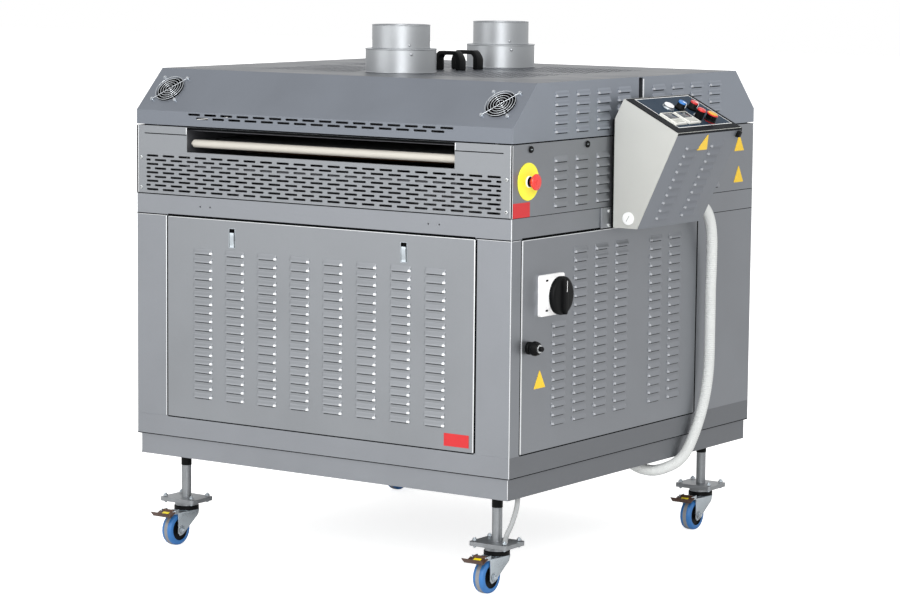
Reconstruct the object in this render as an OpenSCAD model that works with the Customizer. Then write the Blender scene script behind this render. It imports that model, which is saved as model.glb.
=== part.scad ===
// Through-feed reflow oven on castors, with a lower cabinet, a louvred middle
// section, a two-part hinged hood and a side control pod.
// Frame: +Z up, -Y is the infeed end, +X is the control side, z = 0 is the floor.
// The origin is under the middle of the whole outline.

/* [Body] */
// Width of the body across the feed direction
body_w = 1110; // [1000:5:1250]
// Depth of the body along the feed direction
body_d = 1126; // [1040:2:1250]
// Height of the lower cabinet between base band and upper band
cabinet_h = 500; // [480:2:600]
// Height of the base band that the cabinet stands on
base_band_h = 51; // [40:1:70]
// Height of the inset plinth under the base band
plinth_h = 50; // [40:1:70]
// Inset of the plinth from the body faces
plinth_inset = 7; // [3:1:20]
// Height of the plain band above the cabinet
upper_band_h = 50; // [40:1:70]
// Height of the louvred middle section
middle_h = 168; // [160:1:200]
// Sheet metal thickness of covers and panels
sheet_t = 2; // [1.5:0.5:3]
// Side of the square tubes in the corners
post_tube = 30; // [20:5:40]

/* [Panels] */
// Half width of the removable front and rear panels
end_panel_half_w = 458; // [440:1:480]
// Width of the narrow corner strips on the sides
side_strip_w = 41; // [36:1:60]
// Distance from the middle of the body to the hinge edge of the side door
door_hinge_edge = 283; // [270:1:300]
// Gap around doors and removable panels
panel_gap = 2; // [1.5:0.5:3]
// Length of the return flanges on doors and panels
flange = 18; // [12:1:25]
// Height of a finger latch's opening in the front panel
finger_slot_l = 46; // [40:1:50]
// Width of a finger latch's opening in the front panel
finger_slot_w = 17; // [14:1:20]
// Distance of each finger latch from the middle
finger_slot_x = 255; // [200:5:280]

/* [Louvres] */
// Length of one louvre
louvre_l = 55; // [40:1:60]
// Height of one louvre
louvre_h = 11; // [8:1:14]
// How far a louvre stands out
louvre_out = 4.5; // [3:0.5:6]
// Plain strip above the highest louvre of the door and of the middle section
louvre_top = 26; // [20:1:40]
// Thickness of a louvre's formed lip
louvre_lip = 1.2; // [1:0.1:2]
// Horizontal pitch of the louvre columns on the end panels
end_louvre_pitch = 98.6; // [90:0.2:105]
// Horizontal pitch of the louvre columns on the sides
side_louvre_pitch = 92.5; // [85:0.5:98]
// Distance from the middle to the first louvre column on the sides
side_louvre_first = 80.5; // [75:0.5:90]
// Louvres in one column of the end panels
end_louvre_rows = 18; // [10:1:18]
// Louvres in one column of the side door
door_louvre_rows = 20; // [12:1:20]
// Louvres in the short door column under the isolator
short_louvre_rows = 12; // [6:1:12]
// Louvres in one column of the middle section
middle_louvre_rows = 6; // [4:1:6]
// Louvres in one column of the hood sides
hood_louvre_rows = 5; // [3:1:5]
// Height of the lowest door and end louvre above the cabinet floor
louvre_first_z = 56; // [50:1:80]

/* [Grilles] */
// Length of a punched slot
slot_l = 37.5; // [30:0.5:42]
// Width of a punched slot
slot_w = 5; // [4:0.5:6]
// Pitch of the slots along a row
slot_pitch = 50.5; // [48:0.5:56]
// Distance between two rows of slots
slot_row = 10.4; // [9:0.1:12]
// Rows of slots in each end grille
grille_rows = 9; // [5:1:9]
// Width of the conveyor opening
opening_w = 792; // [700:2:820]
// Height of the conveyor opening
opening_h = 56; // [50:1:60]
// Height of the strip above the conveyor opening
opening_strip = 5; // [4:1:9]

/* [Hood] */
// Gap between the middle section and the hood
hood_gap = 3; // [3:0.5:5]
// Height of the upright lip around the hood
lip_h = 35; // [30:1:45]
// Height and run of the slanted hood front
slope = 99; // [90:1:120]
// Half width of the gap between the two hood halves at the sides
seam_half = 13; // [8:1:18]
// Width of the folded edge on the rear half in that gap
seam_fold = 8; // [4:1:10]
// Half width of the perforated field on top
field_half_w = 380; // [300:5:420]
// Far end of the perforated field from the seam
field_end = 320; // [300:5:380]
// Width of the plain rim between the seam and the perforated field
field_start = 22; // [18:1:40]
// Radius of the pins that the hood halves turn on
hood_hinge_r = 2; // [1.5:0.5:3]

/* [Exhaust] */
// Distance of the exhaust centres from the seam
exhaust_y = 221; // [200:1:240]
// Outside diameter of the lower collar
collar_d = 174; // [160:2:190]
// Height of the lower collar
collar_h = 58; // [40:1:80]
// Outside diameter of the duct spigot
spigot_d = 142; // [120:2:150]
// Height of the duct spigot above its collar
spigot_h = 58; // [40:1:80]
// Wall of collar and spigot
duct_t = 2; // [1.5:0.5:3]

/* [Lid handles] */
// Length of a lid handle
handle_l = 78; // [70:1:120]
// Height of a lid handle
handle_h = 46; // [38:1:55]
// Width of a lid handle
handle_w = 25; // [18:1:30]
// Distance of a lid handle from the seam
handle_y = 39; // [36:1:60]
// Sideways place of the lid handles
handle_x = 20; // [-40:5:40]

/* [Fans] */
// Side of the square fan frame
fan_size = 80; // [76:1:84]
// Hole spacing of the fan frame
fan_pitch = 71.5; // [70:0.5:73]
// Depth of the fan frame
fan_depth = 25; // [20:1:32]
// Distance of the two fans from the body sides
fan_inset = 66; // [60:1:95]
// Wire diameter of the fan guards
guard_wire = 1.6; // [1.4:0.2:2.4]

/* [Conveyor] */
// Diameter of the end rollers
roller_d = 20; // [16:1:24]
// Height of the roller centres above the bottom of the opening
roller_z = 21; // [18:1:26]
// Distance of the roller centres from the end faces
roller_inset = 24; // [20:1:40]
// Thickness of the woven belt
belt_t = 1.2; // [0.8:0.2:2]
// Gap between the belt and a roller
belt_gap = 0.4; // [0.3:0.1:1]

/* [Isolator, lock and stop] */
// Side of the isolator plate
isolator_plate_w = 104; // [98:1:110]
// Diameter of the isolator knob
isolator_knob_d = 86; // [70:1:90]
// Diameter of the lock knob
lock_d = 30; // [24:1:36]
// Diameter of the stop disc
stop_disc_d = 90; // [80:1:96]
// Diameter of the stop button
stop_button_d = 40; // [34:1:46]
// Travel of the stop button
stop_travel = 5; // [3:0.5:8]

/* [Control pod] */
// Height of the pod from its lower edge to its upper edge
pod_h = 307; // [290:1:330]
// Width of the pod's sloping control panel, seen from the front
pod_panel_run = 150; // [130:1:170]
// Drop of the control panel from its inner to its outer edge
pod_panel_drop = 76; // [60:1:90]
// Width of the pod at its lower edge
pod_foot_w = 66; // [50:1:80]
// Length of the pod along the body
pod_l = 307; // [290:1:330]
// Near end of the pod from the middle of the body
pod_near = 140; // [130:1:150]
// Distance of the pod from the body side
pod_standoff = 11; // [8:1:16]
// Diameter of a panel hole and of the buttons' necks
panel_hole_d = 16; // [14:1:18]
// Travel of a push-button
button_travel = 4; // [2:0.5:6]

/* [Castors] */
// Wheel diameter
wheel_d = 80; // [70:1:90]
// Wheel width
wheel_w = 30; // [24:1:32]
// Distance of the wheel axle behind the swivel axis
castor_trail = 42; // [35:1:48]
// Height of the castor plate's top face
castor_h = 110; // [106:1:130]
// Length of the castor and leg plates across the feed
foot_plate_x = 105; // [95:1:120]
// Length of the castor and leg plates along the feed
foot_plate_y = 85; // [75:1:95]
// Outside diameter of the leg tubes
leg_d = 24; // [20:1:32]
// Free length of the leg tubes between foot plate and plinth
leg_l = 115; // [80:1:160]
// Distance of the legs from the body sides
leg_inset_x = 87; // [75:1:115]
// Distance of the legs from the end faces
leg_inset_y = 85; // [73:1:113]
// Reach of the brake pedal from the swivel axis
pedal_reach = 102; // [96:1:110]
// Width of the brake pedal
pedal_w = 58; // [50:1:64]

/* [Fits] */
// Radial clearance of running pins and shafts
run_clear = 0.05; // [0.02:0.01:0.1]
// Gap between parts that move past each other
move_gap = 0.5; // [0.4:0.1:1]

/* [Hidden] */

eps = 0.01;
half_w = body_w / 2;
half_d = body_d / 2;
leg_x = half_w - leg_inset_x;
leg_y = half_d - leg_inset_y;
fan_x = half_w - fan_inset;

// Levels, from the floor up.
foot_plate_t = 6;
castor_plate_t = 4;
plinth_z = castor_h + foot_plate_t + leg_l;
base_z = plinth_z + plinth_h;
cabinet_z = base_z + base_band_h;
band_z = cabinet_z + cabinet_h;
middle_z = band_z + upper_band_h;
middle_top = middle_z + middle_h;
hood_z = middle_top + hood_gap;
slope_z = hood_z + lip_h;
top_z = slope_z + slope;
opening_z = middle_top - opening_strip - opening_h;
roller_cz = opening_z + roller_z;

// Control pod, as distances from the body side.
pod_back = half_w + pod_standoff;
pod_z = band_z + 1;
pod_inner = 24;
pod_chamfer_h = 48;
pod_reach = pod_back + pod_inner + pod_panel_run;
panel_angle = atan2(pod_panel_drop, pod_panel_run);
panel_len = norm([pod_panel_run, pod_panel_drop]);
pod_t = sheet_t;

// Middle of the outline, which the origin stands under.
x_low = -half_w - louvre_out;
y_low = -max(half_d + louvre_out, leg_y + pedal_reach);
y_high = half_d + louvre_out;
body_cx = -(x_low + pod_reach) / 2;
body_cy = -(y_low + y_high) / 2;

// Doors and panels.
door_y0 = -half_d + side_strip_w + panel_gap;
door_y1 = door_hinge_edge - panel_gap;
panel_z0 = cabinet_z + panel_gap;
panel_z1 = band_z - panel_gap;
finger_slot_z = panel_z1 - 20 - finger_slot_l / 2;
door_pivot = [half_w - 8, door_y1 - 40];
door_pin_r = 3;
door_lug_r = 6;
door_hinge_zs = [cabinet_z + 70, cabinet_z + cabinet_h / 2, band_z - 90];
louvre_z0 = cabinet_z + louvre_first_z;
door_pitch = (cabinet_h - louvre_first_z - louvre_top) / max(door_louvre_rows, end_louvre_rows);
middle_first_z = 16.6;
middle_pitch = (middle_h - middle_first_z - louvre_top) / middle_louvre_rows;
hood_first_z = 17;
hood_pitch = (lip_h + slope - hood_first_z - 12.5) / hood_louvre_rows;
isolator_y = -half_d + side_strip_w + 122;
isolator_z = louvre_z0 + short_louvre_rows * door_pitch + 55.2;
lock_y = -half_d + side_strip_w + 34;
lock_z = cabinet_z + 0.492 * cabinet_h;
stop_y = -half_d + 65;
stop_z = middle_z + 82;

// Hood hinges.
hood_axis_y = half_d - 6;
hood_axis_z = hood_z + 6;
hood_lug_x = half_w - 40;
seam_top = 8;

// Castors: name and place of each.
axle_r = 5;
king_r = 6;
axle_z = wheel_d / 2;
race_h = 10;
fork_top = castor_h - castor_plate_t - race_h - move_gap;
fork_gap = wheel_w / 2 + 2;
fork_t = 3;
brake_z = fork_top - 14;

$fn = 48;

// ---------------------------------------------------------------- placing

// Moves the body's own frame to the middle of the whole outline.
module on_body() {
    translate([body_cx, body_cy, 0]) children();
}

// Puts a child drawn on the plane y = 0, facing -Y, on one face of the body.
module on_front(out = 0) {
    translate([0, -half_d - out, 0]) children();
}

module on_rear() {
    rotate([0, 0, 180]) on_front() children();
}

module on_right(out = 0) {
    rotate([0, 0, 90]) translate([0, -half_w - out, 0]) children();
}

module on_left() {
    rotate([0, 0, -90]) translate([0, -half_w, 0]) children();
}

// Copies a child to both signs of x.
module both_x(d) {
    for (s = [-1, 1]) translate([s * d, 0, 0]) children();
}

// Box given by its lowest and highest corners.
module span(a, b) {
    translate(a) cube(b - a);
}

// Plate from a 2D outline in x and z, its outer face on y = 0 and facing -Y.
module upright(t = sheet_t) {
    translate([0, t, 0]) rotate([90, 0, 0]) linear_extrude(t) children();
}

// ---------------------------------------------------------------- louvres

// Sheet between two louvre openings in section: x is outwards, y is up.
module louvre_section(z, flat) {
    polygon([
        [-sheet_t, z + flat], [0, z + flat], [0, z + louvre_h], [louvre_out, z],
        [louvre_out - louvre_lip, z], [-sheet_t, z + louvre_h - 1.5]
    ]);
}

// Closed end of a louvre in section.
module louvre_end_section(z) {
    polygon([[-sheet_t, z], [louvre_out - 0.2, z], [0, z + louvre_h - 0.3], [-sheet_t, z + louvre_h - 0.3]]);
}

// Turns a section into a bar of the given length along x.
module section_bar(l) {
    translate([-l / 2, 0, 0]) rotate([90, 0, 90]) mirror([1, 0, 0]) linear_extrude(l) children();
}

// One column of n louvres centred on x, with its lowest lip at z0.
module louvre_column(x, z0, n, pitch) {
    translate([x, 0, 0]) {
        section_bar(louvre_l) for (i = [0 : n - 1])
            louvre_section(z0 + i * pitch, pitch);
        for (s = [-1, 1]) translate([s * (louvre_l / 2 - 0.6), 0, 0])
            section_bar(1.2) for (i = [0 : n - 1])
                louvre_end_section(z0 + i * pitch);
    }
}

// Window in a plate that a louvre column fills.
module louvre_window(x, z0, n, pitch) {
    translate([x - louvre_l / 2, z0]) square([louvre_l, n * pitch]);
}

// Columns of louvres: each entry is [x, z0, rows, pitch].
module louvred_plate(columns) {
    upright() difference() {
        children();
        for (c = columns) louvre_window(c[0], c[1], c[2], c[3]);
    }
    for (c = columns) louvre_column(c[0], c[1], c[2], c[3]);
}

function end_columns() = [for (i = [-3.5 : 1 : 3.5]) [i * end_louvre_pitch, louvre_z0, end_louvre_rows, door_pitch]];

function side_xs() = [for (s = [-1, 1], i = [0 : 3]) s * (side_louvre_first + i * side_louvre_pitch)];

// ---------------------------------------------------------------- slots

// Long punched slot with pointed ends, lying along x.
module slot_outline(l = slot_l) {
    a = l / 2;
    b = slot_w / 2;
    polygon([[-a, 0], [b * 0.7 - a, -b], [a - b * 0.7, -b], [a, 0], [a - b * 0.7, b], [b * 0.7 - a, b]]);
}

// ---------------------------------------------------------------- base

module base_frame() {
    color("#8d9196") on_body() {
        difference() {
            union() {
                span([-half_w, -half_d, base_z], [half_w, half_d, cabinet_z]);
                span([plinth_inset - half_w, plinth_inset - half_d, plinth_z],
                     [half_w - plinth_inset, half_d - plinth_inset, base_z]);
            }
            // open inside, with a floor sheet over the whole base
            span([sheet_t - half_w, sheet_t - half_d, base_z + sheet_t],
                 [half_w - sheet_t, half_d - sheet_t, cabinet_z + 1]);
            span([plinth_inset + 3 - half_w, plinth_inset + 3 - half_d, plinth_z - 1],
                 [half_w - plinth_inset - 3, half_d - plinth_inset - 3, base_z]);
        }
        difference() {
            for (x = [-1, 1], y = [-1, 1]) corner_plate(x, y);
            translate([lead_top[0], lead_top[1], plinth_z - 1]) cylinder(d = lead_d + 3, h = 8);
        }
    }
}

// Plate that a leg is welded to, in a corner of the plinth.
module corner_plate(sx, sy) {
    w = foot_plate_x;
    d = foot_plate_y;
    x1 = half_w - plinth_inset - 3 + eps;
    y1 = half_d - plinth_inset - 3 + eps;
    mirror([sx < 0 ? 1 : 0, 0, 0]) mirror([0, sy < 0 ? 1 : 0, 0])
        span([leg_x - w / 2, leg_y - d / 2, plinth_z], [x1, y1, plinth_z + 5]);
}

module legs() {
    color("#a3a7aa") on_body() for (x = [-leg_x, leg_x], y = [-leg_y, leg_y]) translate([x, y, 0]) {
        // tube, foot plate, castor plate and the castor's race with its kingpin
        translate([0, 0, castor_h + foot_plate_t - eps]) difference() {
            cylinder(d = leg_d, h = leg_l + eps);
            translate([0, 0, 4]) cylinder(d = leg_d - 4, h = leg_l);
        }
        translate([0, 0, castor_h + foot_plate_t / 2]) foot_plate(foot_plate_t);
        translate([0, 0, castor_h - castor_plate_t / 2]) foot_plate(castor_plate_t);
        translate([0, 0, fork_top + move_gap]) cylinder(d = 58, h = race_h + eps);
        translate([0, 0, fork_top - 12]) cylinder(r = king_r, h = race_h + 14);
    }
}

// Foot plate with rounded corners, centred on z = 0.
module foot_plate(t) {
    r = 8;
    w = foot_plate_x / 2 - r;
    d = foot_plate_y / 2 - r;
    translate([0, 0, -t / 2]) {
        translate([-w - r, -d, 0]) cube([2 * w + 2 * r, 2 * d, t]);
        translate([-w, -d - r, 0]) cube([2 * w, 2 * d + 2 * r, t]);
        for (x = [-w, w], y = [-d, d]) translate([x, y, 0]) cylinder(r = r, h = t);
    }
}

// ---------------------------------------------------------------- castors

// Side cheek of a fork, in y and z.
module cheek_outline() {
    w = castor_trail + 15;
    polygon([[-w, axle_z], [-w, fork_top], [26, fork_top], [24, fork_top - 20], [-castor_trail + 15, axle_z - 2], [-castor_trail, axle_z]]);
    translate([-castor_trail, axle_z]) circle(r = 15);
}

module fork() {
    difference() {
        union() {
            for (s = [-1, 1]) translate([s * (fork_gap + fork_t / 2) - fork_t / 2, 0, 0])
                rotate([90, 0, 90]) linear_extrude(fork_t) cheek_outline();
            // head over the wheel
            translate([0, 0, fork_top - 4]) cylinder(r = 28, h = 4);
            translate([-fork_gap - fork_t, -castor_trail - 15, fork_top - 4]) cube([2 * (fork_gap + fork_t), castor_trail + 15 + 16, 4]);
            // curved back
            intersection() {
                difference() {
                    translate([0, 2, fork_top - 24]) cylinder(r = 25, h = 24);
                    translate([0, 2, fork_top - 25]) cylinder(r = 22, h = 21);
                }
                translate([-fork_gap - fork_t, 8, fork_top - 30]) cube([2 * (fork_gap + fork_t), 30, 40]);
            }
        }
        translate([0, 0, fork_top - 14]) cylinder(r = king_r + run_clear, h = 20);
    }
    // axle bolt with its head and nut
    translate([-fork_gap - fork_t - 5, -castor_trail, axle_z]) rotate([0, 90, 0]) cylinder(r = axle_r, h = 2 * (fork_gap + fork_t) + 10);
    for (s = [-1, 1]) translate([s * (fork_gap + fork_t + 2.5) - 2.5, -castor_trail, axle_z]) rotate([0, 90, 0]) cylinder(r = 8, h = 5, $fn = 6);
    // brake arm that the pedal turns on
    translate([-fork_gap - fork_t, -castor_trail - 32, brake_z + 3]) cube([fork_t, 20, 8]);
    translate([fork_gap, -castor_trail - 32, brake_z + 3]) cube([fork_t, 20, 8]);
    translate([-fork_gap - fork_t, -castor_trail - 27, brake_z + 7]) rotate([0, 90, 0]) cylinder(r = 2.5, h = 2 * (fork_gap + fork_t));
}

module wheel() {
    r = wheel_d / 2;
    w = wheel_w / 2;
    translate([0, -castor_trail, axle_z]) rotate([0, 90, 0]) rotate_extrude($fn = 64) polygon([
        [axle_r + run_clear, -w - 1.2], [12, -w - 1.2], [12, -w + 3], [r * 0.66, -w + 3],
        [r * 0.72, -w], [r - 6, -w], [r - 1.5, -w + 4], [r, -w + 8],
        [r, w - 8], [r - 1.5, w - 4], [r - 6, w], [r * 0.72, w],
        [r * 0.66, w - 3], [12, w - 3], [12, w + 1.2], [axle_r + run_clear, w + 1.2]
    ]);
}

module pedal() {
    pz = brake_z + 7;
    py = -castor_trail - 27;
    l = pedal_reach - castor_trail - 27;
    translate([0, py, pz]) difference() {
        union() {
            translate([-fork_gap + move_gap, 0, 0]) rotate([0, 90, 0]) cylinder(r = 5, h = 2 * fork_gap - 2 * move_gap);
            translate([-pedal_w / 2, -l + 3, 0]) rotate([0, 90, 0]) linear_extrude(pedal_w)
                polygon([[-2, 0], [2, 0], [2, l - 12], [-2, l - 12]]);
            translate([-fork_gap + move_gap, -l / 2, -2]) cube([2 * fork_gap - 2 * move_gap, l / 2, 4]);
            translate([-pedal_w / 2, -l, -5]) cube([pedal_w, 4, 14]);
        }
        translate([-60, 0, 0]) rotate([0, 90, 0]) cylinder(r = 2.5 + run_clear, h = 120);
    }
}

module at_castor(sx, sy) {
    on_body() translate([sx * leg_x, sy * leg_y, 0]) children();
}

module castor_fork_fr() { color("#b9bec2") at_castor(1, -1) fork(); }
module castor_fork_fl() { color("#b9bec2") at_castor(-1, -1) fork(); }
module castor_fork_rr() { color("#b9bec2") at_castor(1, 1) fork(); }
module castor_fork_rl() { color("#b9bec2") at_castor(-1, 1) fork(); }
module castor_wheel_fr() { color("#4a8fc8") at_castor(1, -1) wheel(); }
module castor_wheel_fl() { color("#4a8fc8") at_castor(-1, -1) wheel(); }
module castor_wheel_rr() { color("#4a8fc8") at_castor(1, 1) wheel(); }
module castor_wheel_rl() { color("#4a8fc8") at_castor(-1, 1) wheel(); }
module brake_pedal_fr() { color("#4a3427") at_castor(1, -1) pedal(); }
module brake_pedal_fl() { color("#4a3427") at_castor(-1, -1) pedal(); }
module brake_pedal_rr() { color("#4a3427") at_castor(1, 1) pedal(); }
module brake_pedal_rl() { color("#4a3427") at_castor(-1, 1) pedal(); }

// ---------------------------------------------------------------- cabinet

// Corner column: sheet on two faces, return flanges and a square tube.
module corner_post(side_w, side_flange) {
    end_w = half_w - end_panel_half_w;
    h = cabinet_h;
    translate([0, 0, cabinet_z]) {
        span([half_w - end_w, half_d - sheet_t, 0], [half_w, half_d, h]);
        span([half_w - sheet_t, half_d - side_w, 0], [half_w, half_d, h]);
        span([half_w - end_w, half_d - flange, 0], [half_w - end_w + sheet_t, half_d, h]);
        span([half_w - side_flange, half_d - side_w, 0], [half_w, half_d - side_w + sheet_t, h]);
        difference() {
            span([half_w - sheet_t - post_tube, half_d - sheet_t - post_tube, 0], [half_w - sheet_t + eps, half_d - sheet_t + eps, h]);
            span([half_w - post_tube, half_d - post_tube, -1], [half_w - 2 * sheet_t, half_d - 2 * sheet_t, h + 1]);
        }
    }
}

// Arm and pin that one door hinge turns on.
module door_pivot_pin(z) {
    px = door_pivot[0];
    py = door_pivot[1];
    arm_x = px - 52;
    translate([0, 0, z]) {
        span([arm_x, py - 5, -14], [px, py - 1, -6]);
        span([arm_x, py - 5, -14], [arm_x + 8, door_hinge_edge + sheet_t, -6]);
        translate([px, py, -14]) cylinder(r = 5, h = 8);
        translate([px, py, -14]) cylinder(r = door_pin_r, h = 30);
    }
}

hinge_rail = 64;

module corner_posts() {
    color("#9a9ea2") on_body() {
        mirror([0, 1, 0]) corner_post(side_strip_w, flange);
        mirror([1, 0, 0]) corner_post(side_strip_w, flange);
        mirror([0, 1, 0]) mirror([1, 0, 0]) corner_post(side_strip_w, flange);
        corner_post(half_d - door_hinge_edge, hinge_rail);
        for (z = door_hinge_zs) door_pivot_pin(z);
    }
}

// Removable louvred panel on an end of the cabinet.
module end_panel(slots) {
    w = end_panel_half_w - panel_gap;
    louvred_plate(end_columns()) difference() {
        translate([-w, panel_z0]) square([2 * w, panel_z1 - panel_z0]);
        if (slots) for (s = [-1, 1]) translate([s * finger_slot_x, finger_slot_z]) square([finger_slot_w, finger_slot_l], center = true);
    }
    if (slots) for (s = [-1, 1]) translate([s * finger_slot_x, 0, finger_slot_z]) finger_latch();
    both_x(w - sheet_t / 2) span([-sheet_t / 2, eps, panel_z0 + 6], [sheet_t / 2, flange, panel_z1 - 6]);
    for (z = [panel_z0, panel_z1 - sheet_t]) span([-w, eps, z], [w, flange, z + sheet_t]);
}

// Pan behind a finger opening, with the slide that the finger pulls down.
module finger_latch() {
    w = finger_slot_w / 2;
    l = finger_slot_l / 2;
    difference() {
        span([-w - 2, sheet_t - eps, -l - 2], [w + 2, sheet_t + 9, l + 2]);
        span([-w, -1, -l], [w, sheet_t + 7.5, l]);
    }
    upright_slice() polygon([[sheet_t + 8, -l + 1], [2, -l + 1], [1.5, l - 17], [3.5, l - 12], [sheet_t + 8, l - 12]]);
}

// Extrudes an outline in y and z by the width of the latch slide.
module upright_slice() {
    w = finger_slot_w / 2 - 1;
    translate([-w, 0, 0]) rotate([90, 0, 90]) linear_extrude(2 * w) children();
}

module front_panel() { color("#a9acae") on_body() on_front() end_panel(true); }

// The rear panel is fixed, and carries strips that meet the corner columns.
module rear_panel() {
    color("#a9acae") on_body() on_rear() {
        end_panel(false);
        fixing_strips(end_panel_half_w);
    }
}

// Strips behind a fixed panel that tie it to the columns beside it.
module fixing_strips(x) {
    for (s = [-1, 1]) scale([s, 1, 1]) span([x - panel_gap - 4, sheet_t, panel_z0 + 20], [x, sheet_t + 3, panel_z1 - 20]);
}

module left_panel() {
    w = half_d - side_strip_w - panel_gap;
    color("#8b9097") on_body() on_left() {
        louvred_plate([for (x = side_xs()) [x, louvre_z0, door_louvre_rows, door_pitch]])
            translate([-w, panel_z0]) square([2 * w, panel_z1 - panel_z0]);
        fixing_strips(w + panel_gap);
    }
}

module side_door() {
    xs = [for (x = side_xs()) if (x + louvre_l / 2 < door_y1 - 60) x];
    iso_hole = isolator_shaft_r + 0.6;
    color("#868b92") on_body() {
        difference() {
            on_right() {
                louvred_plate([for (x = xs) [x, louvre_z0, x == min(xs) ? short_louvre_rows : door_louvre_rows, door_pitch]])
                    translate([door_y0, panel_z0]) square([door_y1 - door_y0, panel_z1 - panel_z0]);
                span([door_y0, eps, panel_z0 + 6], [door_y0 + sheet_t, flange, panel_z1 - 6]);
                for (z = [panel_z0, panel_z1 - sheet_t]) span([door_y0, eps, z], [door_y1 - 60, flange, z + sheet_t]);
            }
            translate([half_w - 30, isolator_y, isolator_z]) rotate([0, 90, 0]) cylinder(r = iso_hole, h = 60);
            translate([half_w - 30, lock_y, lock_z]) rotate([0, 90, 0]) cylinder(r = lock_shaft_r + run_clear, h = 60);
        }
        // hinge barrels behind the door sheet
        for (z = door_hinge_zs) translate([door_pivot[0], door_pivot[1], z - 5.5]) difference() {
            union() {
                cylinder(r = door_lug_r, h = 18);
                span([0, -door_lug_r, 0], [half_w - door_pivot[0] - sheet_t + eps, door_lug_r, 18]);
            }
            translate([0, 0, -1]) cylinder(r = door_pin_r + run_clear, h = 20);
        }
    }
}

lock_shaft_r = 5;
isolator_shaft_r = 4;

module door_lock() {
    color("#1c1d1f") on_body() translate([half_w, lock_y, lock_z]) rotate([0, 90, 0]) {
        translate([0, 0, move_gap]) cylinder(d = lock_d, h = 7);
        // eight-sided grip that widens outwards, with a key barrel and its cap
        translate([0, 0, move_gap + 6]) cylinder(d1 = lock_d - 6, d2 = lock_d + 2, h = 12, $fn = 8);
        translate([0, 0, move_gap + 18 - eps]) cylinder(d1 = lock_d + 2, d2 = lock_d - 4, h = 11, $fn = 8);
        translate([0, 0, move_gap + 28]) cylinder(d = lock_d - 10, h = 4);
        translate([0, 0, move_gap + 31]) cylinder(d = 12, h = 9);
        translate([0, 0, -24]) cylinder(r = lock_shaft_r, h = 26);
        // cam behind the door, pointing up when unlocked
        translate([-38, -5, -24]) cube([44, 10, 3]);
    }
}

module isolator_plate() {
    w = isolator_plate_w / 2;
    color("#e8e9e8") on_body() translate([half_w, isolator_y, isolator_z]) rotate([0, 90, 0]) difference() {
        union() {
            linear_extrude(10) offset(3) square(2 * w - 6, center = true);
            cylinder(d = isolator_knob_d + 6, h = 14);
        }
        translate([0, 0, -1]) cylinder(r = isolator_shaft_r + run_clear, h = 18);
    }
}

module isolator_knob() {
    r = isolator_knob_d / 2;
    color("#17181a") on_body() translate([half_w, isolator_y, isolator_z]) rotate([0, 90, 0]) {
        translate([0, 0, 14 + move_gap]) cylinder(r = r, h = 12);
        translate([0, 0, 26 + move_gap - eps]) cylinder(r1 = r, r2 = r - 4, h = 4);
        // grip ridge across the knob, with its pointed tail below
        translate([0, 0, 28 + move_gap]) linear_extrude(9) polygon([
            [-r + 3, -9], [r - 14, -9], [r + 2, -3], [r + 2, 3], [r - 14, 9], [-r + 3, 9]
        ]);
        translate([0, 0, -14]) cylinder(r = isolator_shaft_r, h = 30);
    }
}

module upper_band() {
    deck_hole = 60;
    color("#8d9197") on_body() difference() {
        union() {
            difference() {
                span([-half_w, -half_d, band_z], [half_w, half_d, middle_z]);
                span([sheet_t - half_w, sheet_t - half_d, band_z + sheet_t], [half_w - sheet_t, half_d - sheet_t, middle_z + 1]);
            }
            both_x(half_w - 100) span([-2, sheet_t - half_d, band_z], [2, half_d - sheet_t, middle_z]);
        }
        for (y = [-1, 1]) translate([0, y * 0.56 * half_d, band_z - 1]) cylinder(d = deck_hole, h = 9);
        for (x = [-339, 339], d = [-15.5, 15.5]) translate([x + d, 0, band_z + 26]) rotate([90, 0, 0])
            cylinder(d = 4, h = body_d + 10, center = true, $fn = 16);
    }
}

// ---------------------------------------------------------------- middle section

module mid_side_panels() {
    w = half_d - sheet_t;
    cols = [for (x = side_xs()) [x, middle_z + middle_first_z, middle_louvre_rows, middle_pitch]];
    color("#898e95") on_body() {
        on_right() mid_side(w, cols) translate([stop_y, stop_z]) circle(r = stop_shaft_r + 1);
        on_left() mid_side(w, cols);
    }
}

// Side sheet of the middle section, with the hole that a child draws.
module mid_side(w, cols) {
    louvred_plate(cols) difference() {
        translate([-w, middle_z]) square([2 * w, middle_h]);
        children();
    }
    span([-w, eps, middle_z], [w, flange, middle_z + sheet_t]);
    span([-w + 30, eps, middle_top - 8], [w - 30, flange, middle_top - 8 + sheet_t]);
}

module end_grilles() {
    color("#b0b3b5") on_body() {
        on_front() end_grille();
        on_rear() end_grille();
    }
}

// End plate with the conveyor opening, the punched rows and the hood's pivots.
module end_grille() {
    n = floor((body_w - 70) / slot_pitch);
    first = opening_z - 13;
    upright() difference() {
        translate([-half_w, middle_z]) square([body_w, middle_h]);
        translate([-opening_w / 2, opening_z]) square([opening_w, opening_h]);
        for (r = [0 : grille_rows - 1], i = [0 : n - (r % 2 == 0 ? 0 : 1)])
            translate([(i - (n - (r % 2 == 0 ? 0 : 1)) / 2) * slot_pitch, first - r * slot_row]) slot_outline();
        for (r = [1 : 2 : grille_rows - 1], s = [-1, 1])
            translate([s * (n * slot_pitch / 2 + 13), first - r * slot_row]) slot_outline(15);
    }
    // stiffening flanges round the opening and brackets for the hood pivots
    for (z = [opening_z - sheet_t, opening_z + opening_h]) span([-opening_w / 2, eps, z], [opening_w / 2, 10, z + sheet_t]);
    for (s = [-1, 1]) scale([s, 1, 1]) translate([hood_lug_x - 14, 0, 0]) hood_pivot();
}

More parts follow.
